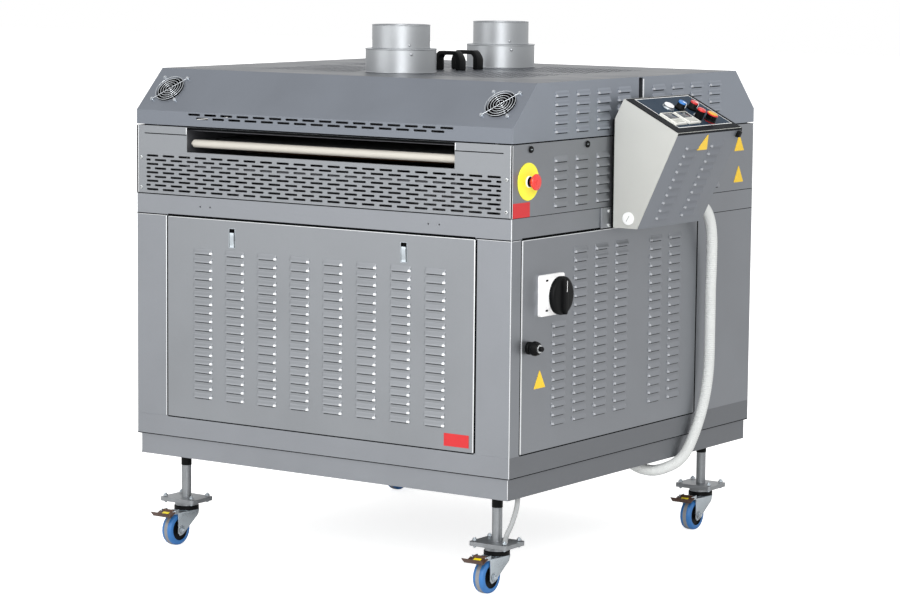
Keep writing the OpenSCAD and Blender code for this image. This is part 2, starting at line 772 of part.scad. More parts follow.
// Bracket with a pin along x, for one side of a hood hinge.
module hood_pivot() {
    y = half_d - hood_axis_y;
    span([-4, y, hood_axis_z - 3], [4, y + 17, hood_axis_z + 3]);
    span([-4, y + 10, middle_top - 40], [4, y + 17, hood_axis_z + 3]);
    span([-4, eps, middle_top - 40], [4, y + 17, middle_top - 24]);
    translate([0, y, hood_axis_z]) rotate([0, 90, 0]) cylinder(r = 3, h = 8, center = true);
    translate([-4, y, hood_axis_z]) rotate([0, 90, 0]) cylinder(r = hood_hinge_r, h = 24);
}

module fasteners() {
    y_end = half_d - 75;
    ys = [-y_end, -y_end / 2, y_end / 2, y_end];
    color("#26282b") on_body() {
        // quarter-turn fasteners along the middle section
        for (y = ys) {
            on_right() translate([y, 0, middle_top - 13]) turn_fastener();
            on_left() translate([y, 0, middle_top - 13]) turn_fastener();
        }
        // screws at the corners of the end grilles
        for (x = [-1, 1], z = [middle_z + 15, middle_z + 0.53 * middle_h]) {
            on_front() translate([x * (half_w - 15), 0, z]) pan_screw();
            on_rear() translate([x * (half_w - 15), 0, z]) pan_screw();
        }
        // bolts through the foot plates
        for (x = [-leg_x, leg_x], y = [-leg_y, leg_y], dx = [-1, 1], dy = [-1, 1])
            translate([x + dx * (foot_plate_x / 2 - 11), y + dy * (foot_plate_y / 2 - 11), castor_h + foot_plate_t]) {
                cylinder(r = 6, h = 4, $fn = 6);
                translate([0, 0, -foot_plate_t - castor_plate_t - 6]) cylinder(r = 6, h = 6, $fn = 6);
            }
    }
}

module turn_fastener() {
    rotate([90, 0, 0]) difference() {
        cylinder(d = 16, h = 4);
        translate([-5, -1, 3]) cube([10, 2, 2]);
    }
}

module pan_screw() {
    rotate([90, 0, 0]) cylinder(d = 8, h = 3);
}

// ---------------------------------------------------------------- hood

// Outline of a hood side, in y and z from the end face towards the seam.
function hood_side(to) = [[-half_d, hood_z], [-half_d, slope_z], [slope - half_d, top_z], [to, top_z], [to, hood_z]];

// Half hood with its lip towards -Y.
module half_hood(side_to, top_to, fold, fans) {
    t = sheet_t;
    side_cols = [for (i = [0 : 3]) [side_louvre_first + i * side_louvre_pitch, hood_z + hood_first_z, hood_louvre_rows]];
    difference() {
        union() {
            // lip, slope and top, folded from one sheet
            rotate([90, 0, 90]) translate([0, 0, -half_w]) linear_extrude(body_w) polygon([
                [-half_d, hood_z], [-half_d, slope_z], [slope - half_d, top_z], [top_to, top_z], [top_to, top_z - t],
                [slope - half_d + t * 0.414, top_z - t], [t - half_d, slope_z - t * 0.414], [t - half_d, hood_z]
            ]);
            // sides
            for (s = [-1, 1]) scale([s, 1, 1]) {
                translate([half_w - t, 0, 0]) rotate([90, 0, 90]) linear_extrude(t) difference() {
                    polygon(hood_side(side_to));
                    for (c = side_cols) translate([-c[0] - louvre_l / 2, c[1]]) square([louvre_l, c[2] * hood_pitch]);
                }
                rotate([0, 0, 90]) translate([0, -half_w, 0]) for (c = side_cols) louvre_column(-c[0], c[1], c[2], hood_pitch);
                // folded edge beside the seam
                if (fold > 0) span([half_w - 12, side_to - t, hood_z], [half_w, side_to, top_z - t]);
            }
        }
        // field cut for the perforated top sheet
        span([-field_half_w, -field_end, top_z - t - 1], [field_half_w, -field_start, top_z + 1]);
        // slots in the lip
        for (r = [0, 1]) translate([0, -half_d - 1, slope_z - 6.5 - r * 9]) rotate([-90, 0, 0]) linear_extrude(t + 2)
            for (i = [0 : 15 - r]) translate([(i - (15 - r) / 2) * slot_pitch * 0.985, 0]) slot_outline();
        if (fans) for (s = [-1, 1]) at_fan(s) fan_cut();
    }
    // frame under the field that the top sheet rests on
    difference() {
        span([-field_half_w - 8, -field_end - 8, top_z - t - 3], [field_half_w + 8, -field_start + 8, top_z - t]);
        span([8 - field_half_w, 8 - field_end, top_z - t - 4], [field_half_w - 8, -field_start - 8, top_z]);
    }
    // hinge ears behind the lip
    both_x(hood_lug_x) translate([0, -hood_axis_y, hood_axis_z]) rotate([0, 90, 0]) difference() {
        cylinder(r = 4.5, h = 12, center = true);
        cylinder(r = hood_hinge_r + run_clear, h = 14, center = true);
    }
}

module front_hood() {
    color("#8a9097") on_body() half_hood(-seam_half, -seam_top, 0, true);
}

module rear_hood() {
    color("#8a9097") on_body() rotate([0, 0, 180]) half_hood(-(seam_half - seam_fold), seam_top - 1.5, seam_fold, false);
}

// Perforated sheet in the field of one hood half.
module top_sheet() {
    cols = floor((2 * field_half_w - 24) / slot_row);
    rows = floor((field_end - field_start - 24) / slot_pitch);
    y_mid = -(field_end + field_start) / 2;
    difference() {
        translate([0, 0, top_z - sheet_t]) linear_extrude(sheet_t) difference() {
            translate([-field_half_w + 0.5, -field_end + 0.5]) square([2 * field_half_w - 1, field_end - field_start - 1]);
            for (i = [0 : cols]) {
                x = (i - cols / 2) * slot_row;
                n = rows - (i % 2);
                for (j = [0 : n]) {
                    y = y_mid + (j - n / 2) * slot_pitch;
                    if (norm([x, y + exhaust_y]) > collar_d / 2 + slot_l / 2 + 2 && norm([x - handle_x, y + handle_y]) > handle_l / 2 + 6)
                        translate([x, y]) rotate(90) slot_outline();
                }
            }
        }
        translate([0, -exhaust_y, top_z - 10]) cylinder(r = neck_r - duct_t, h = 20);
    }
}

module top_sheet_front() { color("#8f959b") on_body() top_sheet(); }
module top_sheet_rear() { color("#8f959b") on_body() rotate([0, 0, 180]) top_sheet(); }

// ---------------------------------------------------------------- exhaust

neck_r = spigot_d / 2 - 1;

module collar() {
    t = duct_t;
    translate([0, -exhaust_y, top_z]) rotate_extrude($fn = 96) polygon([
        [collar_d / 2 - t, 0], [collar_d / 2, 0], [collar_d / 2, collar_h - 2], [collar_d / 2 - 2, collar_h],
        [neck_r, collar_h], [neck_r, collar_h - t], [collar_d / 2 - t - 1, collar_h - t], [collar_d / 2 - t, collar_h - t - 1]
    ]);
}

// Duct spigot that stands on its collar, with a narrower neck through it.
module spigot() {
    t = duct_t;
    r = spigot_d / 2;
    translate([0, -exhaust_y, top_z]) rotate_extrude($fn = 96) polygon([
        [neck_r - t, 0], [neck_r, 0], [neck_r, collar_h], [r, collar_h], [r, collar_h + spigot_h],
        [r - t, collar_h + spigot_h], [r - t, collar_h + t], [neck_r - t, collar_h]
    ]);
}

module exhaust_collar_front() { color("#c9cbcd") on_body() collar(); }
module exhaust_collar_rear() { color("#c9cbcd") on_body() mirror([0, 1, 0]) collar(); }
module exhaust_spigot_front() { color("#d2d4d6") on_body() spigot(); }
module exhaust_spigot_rear() { color("#d2d4d6") on_body() mirror([0, 1, 0]) spigot(); }

// Bridge handle with sloping shoulders.
module lid_handle() {
    a = handle_l / 2;
    translate([handle_x, -handle_y, top_z]) rotate([90, 0, 0]) translate([0, 0, -handle_w / 2]) linear_extrude(handle_w) polygon([
        [-a, 0], [-a, handle_h - 21], [-a + 11, handle_h - 2], [-a + 14, handle_h], [a - 14, handle_h], [a - 11, handle_h - 2],
        [a, handle_h - 21], [a, 0], [a - 14, 0], [a - 14, handle_h - 12], [a - 19, handle_h - 8], [-a + 19, handle_h - 8],
        [-a + 14, handle_h - 12], [-a + 14, 0]
    ]);
}

module lid_handle_front() { color("#131415") on_body() lid_handle(); }
module lid_handle_rear() { color("#131415") on_body() translate([0, 2 * handle_y, 0]) lid_handle(); }

// ---------------------------------------------------------------- fans

// Frame on the middle of the slope: -y is outwards and z is up the slope.
module at_fan(s) {
    translate([s * fan_x, -half_d + slope / 2, slope_z + slope / 2]) rotate([-45, 0, 0]) children();
}

module fan_cut() {
    rotate([-90, 0, 0]) cylinder(d = fan_size - 4, h = 20, center = true);
}

module fan_guards() {
    color("#c3c6c8") on_body() for (s = [-1, 1]) at_fan(s) {
        w = guard_wire / 2;
        for (r = [10, 17, 24, 31, 38]) translate([0, -5, 0]) rotate([90, 0, 0]) rotate_extrude($fn = 64) translate([r, 0]) circle(r = w, $fn = 16);
        for (a = [45, 135]) translate([0, -5 + 2 * w, 0]) rotate([0, a, 0]) cylinder(r = w, h = 2 * (fan_pitch / 2) * sqrt(2) - 2, center = true, $fn = 16);
        for (x = [-1, 1], z = [-1, 1]) translate([x * fan_pitch / 2, 0, z * fan_pitch / 2]) rotate([90, 0, 0]) {
            cylinder(d = 9, h = 3);
            translate([0, 0, 2]) cylinder(d = 6.5, h = 4);
        }
    }
}

module fan_housings() {
    h = fan_size / 2;
    color("#1a1b1d") on_body() for (s = [-1, 1]) at_fan(s) translate([0, sheet_t, 0]) {
        difference() {
            translate([-h, 0, -h]) cube([2 * h, fan_depth, 2 * h]);
            rotate([-90, 0, 0]) translate([0, 0, -1]) cylinder(d = fan_size - 5, h = fan_depth + 2);
        }
        // struts and the boss with the rotor's spindle
        for (a = [0, 90]) rotate([0, a + 20, 0]) translate([-h + 1, fan_depth - 3, -2]) cube([2 * h - 2, 3, 4]);
        translate([0, fan_depth - 4, 0]) rotate([-90, 0, 0]) cylinder(d = 30, h = 4);
        translate([0, 5, 0]) rotate([-90, 0, 0]) cylinder(r = 2, h = fan_depth - 6);
    }
}

// Hub with seven pitched blades.
module rotor() {
    translate([0, sheet_t, 0]) {
        difference() {
            translate([0, 2.5, 0]) rotate([-90, 0, 0]) cylinder(d = 32, h = fan_depth - 8);
            translate([0, 4, 0]) rotate([-90, 0, 0]) cylinder(r = 2 + run_clear, h = fan_depth);
        }
        for (i = [0 : 6]) rotate([0, i * 360 / 7, 0]) translate([14, fan_depth / 2 - 1.5, 0]) rotate([38, 0, 0]) translate([0, -8, -0.8]) cube([21, 15, 1.6]);
    }
}

module fan_rotor_left() { color("#202124") on_body() at_fan(-1) rotor(); }
module fan_rotor_right() { color("#202124") on_body() at_fan(1) rotor(); }

// ---------------------------------------------------------------- conveyor

tunnel_half_w = opening_w / 2 + 1;
tunnel_t = 3;
shaft_r = 5;

module end_roller() {
    l = opening_w - 12;
    translate([0, -half_d + roller_inset, roller_cz]) rotate([0, 90, 0]) {
        cylinder(d = roller_d, h = l, center = true);
        cylinder(r = shaft_r, h = 2 * (tunnel_half_w + tunnel_t), center = true);
    }
}

module infeed_roller() { color("#d7dadc") on_body() end_roller(); }
module outfeed_roller() { color("#d7dadc") on_body() mirror([0, 1, 0]) end_roller(); }

// Stadium outline from -l to l, rounded with r.
module stadium(l, r) {
    square([2 * l, 2 * r], center = true);
    for (s = [-1, 1]) translate([s * l, 0]) circle(r = r);
}

module conveyor_belt() {
    l = half_d - roller_inset - roller_d - 12;
    r = roller_d / 2;
    color("#9b9fa2") on_body() translate([0, 0, roller_cz]) rotate([90, 0, 90]) translate([0, 0, -opening_w / 2 + 20])
        linear_extrude(opening_w - 40) difference() {
            stadium(l, r);
            stadium(l, r - belt_t);
        }
}

module tunnel_shell() {
    z0 = band_z + 120;
    w = tunnel_half_w;
    t = tunnel_t;
    d = half_d - 4;
    box_d = half_d * 0.71;
    box_z = top_z - 70;
    belt_l = half_d - roller_inset - roller_d - 12;
    nose_r = roller_d / 2 - belt_t - belt_gap;
    color("#6d7176") on_body() {
        difference() {
            union() {
                both_x(w + t / 2) span([-t / 2, -d, z0], [t / 2, d, middle_top - 6]);
                both_x(w + t / 2) span([-t / 2, -box_d, middle_top - 7], [t / 2, box_d, box_z]);
            }
            for (y = [-1, 1]) translate([0, y * (half_d - roller_inset), roller_cz]) rotate([0, 90, 0])
                cylinder(r = shaft_r + run_clear, h = body_w, center = true);
        }
        // floor on legs that stand on the upper band's deck
        span([-w - t, -d, z0], [w + t, d, z0 + t]);
        for (x = [-w, w - 10], y = [-box_d - 20, box_d - 20]) span([x, y, band_z + sheet_t], [x + 10, y + 40, z0]);
        // insulated roof over the heating chamber
        span([-w - t, -box_d, box_z], [w + t, box_d, box_z + 30]);
        for (y = [-box_d, box_d - t]) span([-w, y, middle_top - 9], [w, y + t, box_z]);
        // ceilings of the infeed and outfeed ends
        for (s = [-1, 1]) scale([1, s, 1]) span([-w, box_d - t, middle_top - 9], [w, d - 14, middle_top - 6]);
        // nose bars that the belt runs on
        for (y = [-belt_l, belt_l]) translate([0, y, roller_cz]) rotate([0, 90, 0]) cylinder(r = nose_r, h = 2 * w, center = true);
    }
}

module heaters() {
    w = tunnel_half_w;
    color("#b5893a") on_body() for (i = [0 : 5]) {
        y = (i - 2.5) * half_d * 0.23;
        translate([0, y, roller_cz - roller_d / 2 - 20]) rotate([0, 90, 0]) cylinder(r = 4, h = 2 * w, center = true);
        translate([0, y, middle_top + 25]) rotate([0, 90, 0]) cylinder(r = 4, h = 2 * w, center = true);
    }
}

module control_gear() {
    x = half_w - 170;
    z0 = base_z + sheet_t;
    h = cabinet_h + base_band_h - 60;
    y0 = -0.78 * half_d;
    y1 = 0.39 * half_d;
    step = (y1 - y0 - 80) / 8;
    color("#c7c9c6") on_body() {
        span([x, y0, z0], [x + 2.5, y1, z0 + h]);
        for (y = [y0, y1 - 30]) span([x + 1, y, z0], [x + 60, y + 30, z0 + 3]);
        // rows of contactors and relays on their rails
        for (r = [0 : 2]) translate([x, y0 + 40, z0 + h * (0.2 + 0.25 * r)]) {
            span([2, 0, 20], [9, y1 - y0 - 80, 55]);
            for (i = [0 : 7]) span([8, i * step, 0], [60, (i + (i % 3 == 0 ? 0.8 : 0.6)) * step, 75]);
        }
        // switch behind the isolator
        translate([0, isolator_y, isolator_z]) span([x + 2, -30, -32], [half_w - 20, 30, 32]);
    }
}

// ---------------------------------------------------------------- control pod

// Pod outline in x (from the pod's back) and z (from its lower edge).
pod_points = [
    [0, 0], [pod_foot_w, 0], [pod_inner + pod_panel_run, pod_h - pod_panel_drop], [pod_inner, pod_h], [0, pod_h - pod_chamfer_h]
];

// Corner of a convex outline moved inwards by t.
function inset_corner(a, b, c, t) =
    let (u = (b - a) / norm(b - a), v = (c - b) / norm(c - b), k = t / (1 + u * v))
    b + k * ([-u[1], u[0]] + [-v[1], v[0]]);

function inset(p, t) = [for (i = [0 : len(p) - 1]) inset_corner(p[(i + len(p) - 1) % len(p)], p[i], p[(i + 1) % len(p)], t)];

// Pod frame: x from the pod's back, y from the middle of the body.
module at_pod() {
    on_body() translate([pod_back, 0, pod_z]) children();
}

// Bar along y with a section drawn in x and z.
module pod_bar(y0, l) {
    translate([0, y0 + l, 0]) rotate([90, 0, 0]) linear_extrude(l) children();
}

pod_face_len = norm(pod_points[2] - pod_points[1]);
pod_face_angle = atan2(pod_points[2][1] - pod_points[1][1], pod_points[2][0] - pod_points[1][0]);

// Frame on the pod's outer face: x along the body, z up the face, -y outwards.
module on_pod_face() {
    translate([pod_points[1][0], 0, 0]) rotate([0, 90 - pod_face_angle, 0]) rotate([0, 0, 90]) children();
}

// Frame on the control panel: x along the body, y up towards the body, z outwards.
module on_panel() {
    translate([pod_inner, 0, pod_h]) rotate([0, panel_angle, 0]) rotate([0, 0, 90]) children();
}

module pod_shell() {
    t = pod_t;
    rows = 10;
    first = 24;
    pitch = (pod_face_len - first - 22) / rows;
    cols = [-pod_near + 0.304 * pod_l, pod_l - pod_near - 0.308 * pod_l];
    color("#c4c6c3") at_pod() {
        difference() {
            pod_bar(-pod_near, pod_l) polygon(pod_points);
            pod_bar(-pod_near + t, pod_l - 2 * t) polygon(inset(pod_points, t));
            // window for the control panel
            on_panel() span([-pod_near + 12, -panel_len + 12, -t - 2], [pod_l - pod_near - 12, -12, 2]);
            on_pod_face() for (x = cols) span([x - louvre_l / 2, -1, first], [x + louvre_l / 2, t + 1.5, first + rows * pitch]);
            // entries for the blanking plug and the conduit gland
            translate([42, -pod_near - 1, 24]) rotate([-90, 0, 0]) cylinder(d = 20, h = t + 2);
            translate([gland_x, pod_l - pod_near - t - 1, gland_z]) rotate([-90, 0, 0]) cylinder(d = 20, h = t + 2);
        }
        on_pod_face() for (x = cols) louvre_column(x, first, rows, pitch);
    }
}

gland_x = 30;
gland_z = 35;

module pod_mount() {
    y0 = -pod_near;
    y1 = pod_l - pod_near;
    back = pod_standoff;
    plate = pod_standoff - louvre_out - 1;
    color("#1b1c1e") at_pod() {
        span([-plate, y0 + 2, middle_z - pod_z - 2], [0, y1 - 2, pod_h - pod_chamfer_h - 1]);
        // stand-offs on the upper band, and the bracket beside the pod
        for (y = [y0 + 2, y1 - 42]) span([-back, y, 2], [0, y + 40, middle_z - pod_z - 1]);
        span([-back, y0 - 42, 2], [-back + 3, y0 + 3, middle_z - pod_z - 2]);
        for (z = [6, 40]) translate([-back + 2, y0 - 10, z]) rotate([0, 90, 0]) cylinder(d = 8, h = 3.5);
    }
}

module cable_glands() {
    r = conduit_d / 2;
    color("#ecedec") {
        at_pod() {
            // blanking plug with a slot, on the near end of the pod
            translate([42, -pod_near, 24]) rotate([90, 0, 0]) difference() {
                translate([0, 0, -6]) union() { cylinder(d = 19, h = 7); translate([0, 0, 6]) cylinder(d = 31, h = 3.5); }
                rotate(60) translate([-8, -0.75, 2.5]) cube([16, 1.5, 2]);
            }
            // gland that the conduit leaves the pod by
            translate([gland_x, pod_l - pod_near, gland_z]) rotate([-90, 0, 0]) gland(r);
        }
        // gland in the base floor that takes the conduit
        on_body() translate([elbow_at[0], elbow_at[1], base_z]) elbow_gland(r);
        // small gland for the bonding lead
        on_body() translate([lead_top[0], lead_top[1], base_z]) mirror([0, 0, 1]) cylinder(r = lead_d / 2 + 3, h = 14);
    }
}

// Gland along +z: a neck through the sheet, a nut and a collar.
module gland(r) {
    cylinder(r = r + 4, h = 8, $fn = 6);
    translate([0, 0, 8]) cylinder(r = r + 2.5, h = 10);
}

// Gland that turns towards the conduit: nut, neck, bend and collar.
module elbow_gland(r) {
    translate([0, 0, -8]) cylinder(r = r + 4, h = 8, $fn = 6);
    translate([0, 0, -elbow_neck]) cylinder(r = r, h = elbow_neck);
    rotate(elbow_turn) translate([elbow_r, 0, -elbow_neck]) rotate([90, 0, 0]) {
        rotate([0, 0, 180]) rotate_extrude(angle = elbow_bend) translate([elbow_r, 0]) circle(r = r);
        rotate([0, 0, 180 + elbow_bend]) translate([elbow_r, 0, 0]) rotate([90, 0, 0]) cylinder(r = r + 2.5, h = elbow_collar);
    }
}

module panel_plate() {
    c = 1.5;
    color("#3a4654") at_pod() on_panel() difference() {
        union() {
            span([-pod_near + 4, -panel_len + 4, 0], [pod_l - pod_near - 4, -4, 2]);
            span([-pod_near + 12 + c, -panel_len + 12 + c, -pod_t - 1], [pod_l - pod_near - 12 - c, -12 - c, 0.5]);
        }
        for (b = buttons) translate([b[0], -b[1], -6]) cylinder(d = panel_hole_d + 2 * run_clear, h = 20);
    }
}

// Controls on the panel: place along the body and place down the panel.
white_at = [-21, 57];
blue_at = [18, 67];
red_sel_at = [70, 71];
red_at = [25, 118];
yellow_at = [66, 129];
buttons = [white_at, blue_at, red_sel_at, red_at, yellow_at];

module at_control(b) {
    at_pod() on_panel() translate([b[0], -b[1], 2]) children();
}

module temp_controllers() {
    color("#d9dad6") at_pod() on_panel() for (x = [-77, -14]) translate([x, -110, 2]) difference() {
        translate([-27, -26, 0]) cube([54, 52, 6]);
        // display recess and key row
        translate([-20, -2, 4.5]) cube([40, 22, 2]);
        for (i = [-1.5 : 1 : 1.5]) translate([i * 10 - 3, -20, 5.2]) cube([6, 6, 2]);
    }
}

// Push-button head with a neck through the panel and a keeper below it.
module button_body(d, h, travel) {
    translate([0, 0, travel + move_gap]) cylinder(d = d, h = h);
    translate([0, 0, -16]) cylinder(d = panel_hole_d, h = 16 + travel + move_gap + 1);
    translate([0, 0, -20]) cylinder(d = panel_hole_d + 6, h = 4);
}

// Rotary selector: round base with a pointer bar on it.
module selector_body(d, h) {
    translate([0, 0, move_gap]) cylinder(d = d, h = h * 0.5);
    translate([0, 0, h * 0.5]) cylinder(d = d * 0.82, h = h * 0.5);
    translate([-2.5, -d / 2, h * 0.5]) cube([5, d, h * 0.62]);
    translate([0, 0, -14]) cylinder(d = panel_hole_d, h = 16);
}

module white_button() { color("#e4e5e4") at_control(white_at) button_body(28, 7, button_travel); }
module blue_selector() { color("#2f6fb5") at_control(blue_at) selector_body(27, 20); }
module red_selector() { color("#c22a2e") at_control(red_sel_at) selector_body(27, 20); }
module red_button() { color("#c8202a") at_control(red_at) button_body(21, 24, button_travel); }
module yellow_knob() {
    color("#d9a821") at_control(yellow_at) {
        translate([0, 0, move_gap]) cylinder(d = 30, h = 12);
        translate([0, 0, 10]) cylinder(d = 26, h = 11, $fn = 12);
        translate([0, 0, -14]) cylinder(d = panel_hole_d, h = 16);
    }
}

// ---------------------------------------------------------------- stop button

stop_shaft_r = 9;

module stop_disc() {
    color("#e3c400") on_body() translate([half_w, stop_y, stop_z]) rotate([0, 90, 0]) difference() {
        union() {
            cylinder(d = stop_disc_d, h = 2.5);
            cylinder(d = stop_button_d - 8, h = 8);
        }
        translate([0, 0, -1]) cylinder(r = stop_shaft_r + run_clear, h = 12);
    }
}

module stop_button() {
    d = stop_button_d;
    color("#c31d22") on_body() translate([half_w + 8 + stop_travel + move_gap, stop_y, stop_z]) rotate([0, 90, 0]) {
        rotate_extrude() polygon([[0, 0], [d / 2 - 7, 0], [d / 2 - 6, 3], [d / 2, 9.5], [d / 2, 12], [d / 2 - 1.5, 14.5], [d / 2 - 6, 16], [0, 16.5]]);
        translate([0, 0, -13 - stop_travel]) cylinder(r = stop_shaft_r, h = 14 + stop_travel);
    }
}

// ---------------------------------------------------------------- cords

conduit_d = 28;
lead_d = 12;

// Elbow gland under the base: place, turn towards the conduit and sizes.
elbow_at = [half_w - 75, 46];
elbow_turn = 63;
elbow_neck = 9;
elbow_r = 24;
elbow_bend = 45;
elbow_collar = 10;
elbow_dir = [sin(elbow_bend) * cos(elbow_turn), sin(elbow_bend) * sin(elbow_turn), -cos(elbow_bend)];
elbow_run = elbow_r * (1 - cos(elbow_bend));
elbow_tip = [elbow_at[0] + elbow_run * cos(elbow_turn), elbow_at[1] + elbow_run * sin(elbow_turn), base_z - elbow_neck - elbow_r * sin(elbow_bend)]
    + elbow_collar * elbow_dir;

// Route of the conduit from the pod's gland to the elbow: distance out from the
// body side, distance behind the middle, height above the base band.
conduit_points = [
    [41, 185, 587], [41, 203, 587], [41, 229, 582], [40, 254, 569], [37, 276, 548], [34, 293, 519],
    [31, 303, 487], [28, 309, 452], [26, 312, 414], [25, 312, 369], [25, 312, 314], [25, 312, 259], [25, 312, 207],
    [25, 309, 159], [24, 301, 113], [22, 288, 69], [19, 270, 27], [16, 247, -11], [12, 224, -41],
    [3, 197, -62], [-12, 167, -74], [-27, 138, -78], [-41, 112, -73], [-53, 89, -62]
];
conduit_rise = (pod_z + gland_z - base_z) / conduit_points[0][2];
conduit_shift = [pod_standoff + gland_x - 41, pod_l - pod_near + 18 - 185];
conduit_route = concat([for (p = conduit_points)
    let (up = max(0, p[2]) / conduit_points[0][2])
    [half_w + p[0] + up * conduit_shift[0], p[1] + up * conduit_shift[1], base_z + p[2] * (p[2] > 0 ? conduit_rise : 1)]],
    [elbow_tip + 14 * elbow_dir, elbow_tip]);

// Route of the bonding lead from the base's gland to the near foot plate: places
// from the leg's middle, and height as a share of the way up.
lead_top = [leg_x + 63, -leg_y - 10];
lead_low = castor_h + foot_plate_t;
lead_high = base_z - 14;
lead_points = [
    [63, 1], [63, 0.885], [63, 0.757], [62, 0.642], [58, 0.52], [52, 0.399], [45, 0.277], [37, 0.176], [32, 0.101],
    [30, 0.041], [30, 0]
];
lead_route = [for (p = lead_points) [leg_x + p[0], -leg_y - 10, lead_low + p[1] * (lead_high - lead_low)]];

function along(p, i) = let (d = p[min(i + 1, len(p) - 1)] - p[max(i - 1, 0)]) d / norm(d);

// Ring of points round one route point, square to the route.
function route_ring(p, i, r, n) =
    let (t = along(p, i), u0 = [1, 0, 0] - (t * [1, 0, 0]) * t, u = u0 / norm(u0), v = cross(t, u))
    [for (k = [0 : n - 1]) p[i] + r * (cos(k * 360 / n) * u + sin(k * 360 / n) * v)];

// Tube swept along a route as one polyhedron.
module route_tube(p, d, n = 10) {
    m = len(p);
    points = [for (i = [0 : m - 1]) each route_ring(p, i, d / 2, n)];
    sides = [for (i = [0 : m - 2], k = [0 : n - 1])
        [i * n + k, i * n + (k + 1) % n, (i + 1) * n + (k + 1) % n, (i + 1) * n + k]];
    polyhedron(points = points, faces = concat(
        sides, [[for (k = [n - 1 : -1 : 0]) k]], [[for (k = [0 : n - 1]) (m - 1) * n + k]]));
}

module conduit() {
    color("#eef0ef") on_body() route_tube(conduit_route, conduit_d);
}

module bonding_lead() {
    color("#8e9194") on_body() route_tube(lead_route, lead_d);
}

base_frame();
corner_posts();
upper_band();
front_panel();
rear_panel();
left_panel();
side_door();
door_lock();
isolator_plate();
isolator_knob();
mid_side_panels();
end_grilles();
fasteners();
front_hood();
rear_hood();
top_sheet_front();
top_sheet_rear();
exhaust_collar_front();
exhaust_collar_rear();
exhaust_spigot_front();
exhaust_spigot_rear();
lid_handle_front();
lid_handle_rear();
fan_guards();
fan_housings();
fan_rotor_left();
fan_rotor_right();
infeed_roller();
outfeed_roller();
conveyor_belt();
heaters();
tunnel_shell();
control_gear();
pod_shell();
pod_mount();
cable_glands();
panel_plate();
temp_controllers();
white_button();
blue_selector();
red_selector();
red_button();
yellow_knob();
conduit();
bonding_lead();
legs();
stop_disc();
stop_button();
castor_fork_fr();
castor_fork_fl();
castor_fork_rr();
castor_fork_rl();
castor_wheel_fr();
castor_wheel_fl();
castor_wheel_rr();
castor_wheel_rl();
brake_pedal_fr();
brake_pedal_fl();
brake_pedal_rr();
brake_pedal_rl();
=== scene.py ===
"""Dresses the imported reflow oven: finishes, cords, controls, castors and studio."""

import logging
import math
from contextlib import contextmanager
from dataclasses import dataclass
from enum import Enum
from typing import Any, Callable, Iterator, Optional, Sequence

import bmesh
import bpy
from mathutils import Matrix, Vector

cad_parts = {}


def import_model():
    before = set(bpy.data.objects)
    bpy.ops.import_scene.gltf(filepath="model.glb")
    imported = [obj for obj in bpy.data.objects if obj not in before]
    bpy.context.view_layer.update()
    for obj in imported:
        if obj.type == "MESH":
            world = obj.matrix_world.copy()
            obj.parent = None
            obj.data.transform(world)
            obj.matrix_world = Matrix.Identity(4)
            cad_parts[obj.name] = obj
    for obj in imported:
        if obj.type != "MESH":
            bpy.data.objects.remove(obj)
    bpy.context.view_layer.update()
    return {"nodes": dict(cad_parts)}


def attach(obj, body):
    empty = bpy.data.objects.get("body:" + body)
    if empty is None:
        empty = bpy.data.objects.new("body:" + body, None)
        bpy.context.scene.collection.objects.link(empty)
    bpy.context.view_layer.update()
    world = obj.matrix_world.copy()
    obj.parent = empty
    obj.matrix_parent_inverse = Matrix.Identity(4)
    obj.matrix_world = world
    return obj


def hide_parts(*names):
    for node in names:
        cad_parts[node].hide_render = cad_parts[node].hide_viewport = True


LOG = logging.getLogger("reflow_oven")
MM = 0.001
# The body's own middle stands off the row's origin by this much.
BODY_SHIFT = Vector((-0.09025, 0.00625, 0.0))
X, Y, Z = Vector((1, 0, 0)), Vector((0, 1, 0)), Vector((0, 0, 1))
# Half the body's width and depth, and the heights where one sheet ends and the next begins.
HALF_W, HALF_D = 555.0, 563.0
CABINET_Z, BAND_Z, MIDDLE_Z, MIDDLE_TOP, HOOD_Z, TOP_Z = 332.0, 832.0, 882.0, 1050.0, 1053.0, 1187.0
# Legs from the body's middle.
LEG_X, LEG_Y = 468.0, 478.0
CORNERS = {"fr": (1, -1), "fl": (-1, -1), "rr": (1, 1), "rl": (-1, 1)}
Test = Callable[[Vector, Vector], bool]
Rings = Sequence[tuple[float, float]]


def place(x: float, y: float, z: float) -> Vector:
    """Turn a place in the body's own millimetres into the row frame.

    Args:
        x: Distance to the right of the body's middle.
        y: Distance behind the body's middle.
        z: Height above the floor.

    Returns:
        The same place in metres.
    """
    return Vector((x, y, z)) * MM + BODY_SHIFT


def at_place(x: float, y: float, z: float) -> Matrix:
    """Matrix that moves a piece to a place in the body's own millimetres."""
    return Matrix.Translation(place(x, y, z))


def turned_by(degrees: float, axis: str) -> Matrix:
    """Matrix that turns a piece about one axis."""
    return Matrix.Rotation(math.radians(degrees), 4, axis)


def linear(code: str, alpha: float = 1.0) -> tuple[float, float, float, float]:
    """Turn an sRGB hex colour into linear light.

    Args:
        code: Colour such as "#a8abad".
        alpha: Opacity to add.

    Returns:
        Linear red, green, blue and alpha.
    """
    parts = [int(code[i : i + 2], 16) / 255 for i in (1, 3, 5)]
    red, green, blue = (c / 12.92 if c <= 0.04045 else ((c + 0.055) / 1.055) ** 2.4 for c in parts)
    return red, green, blue, alpha


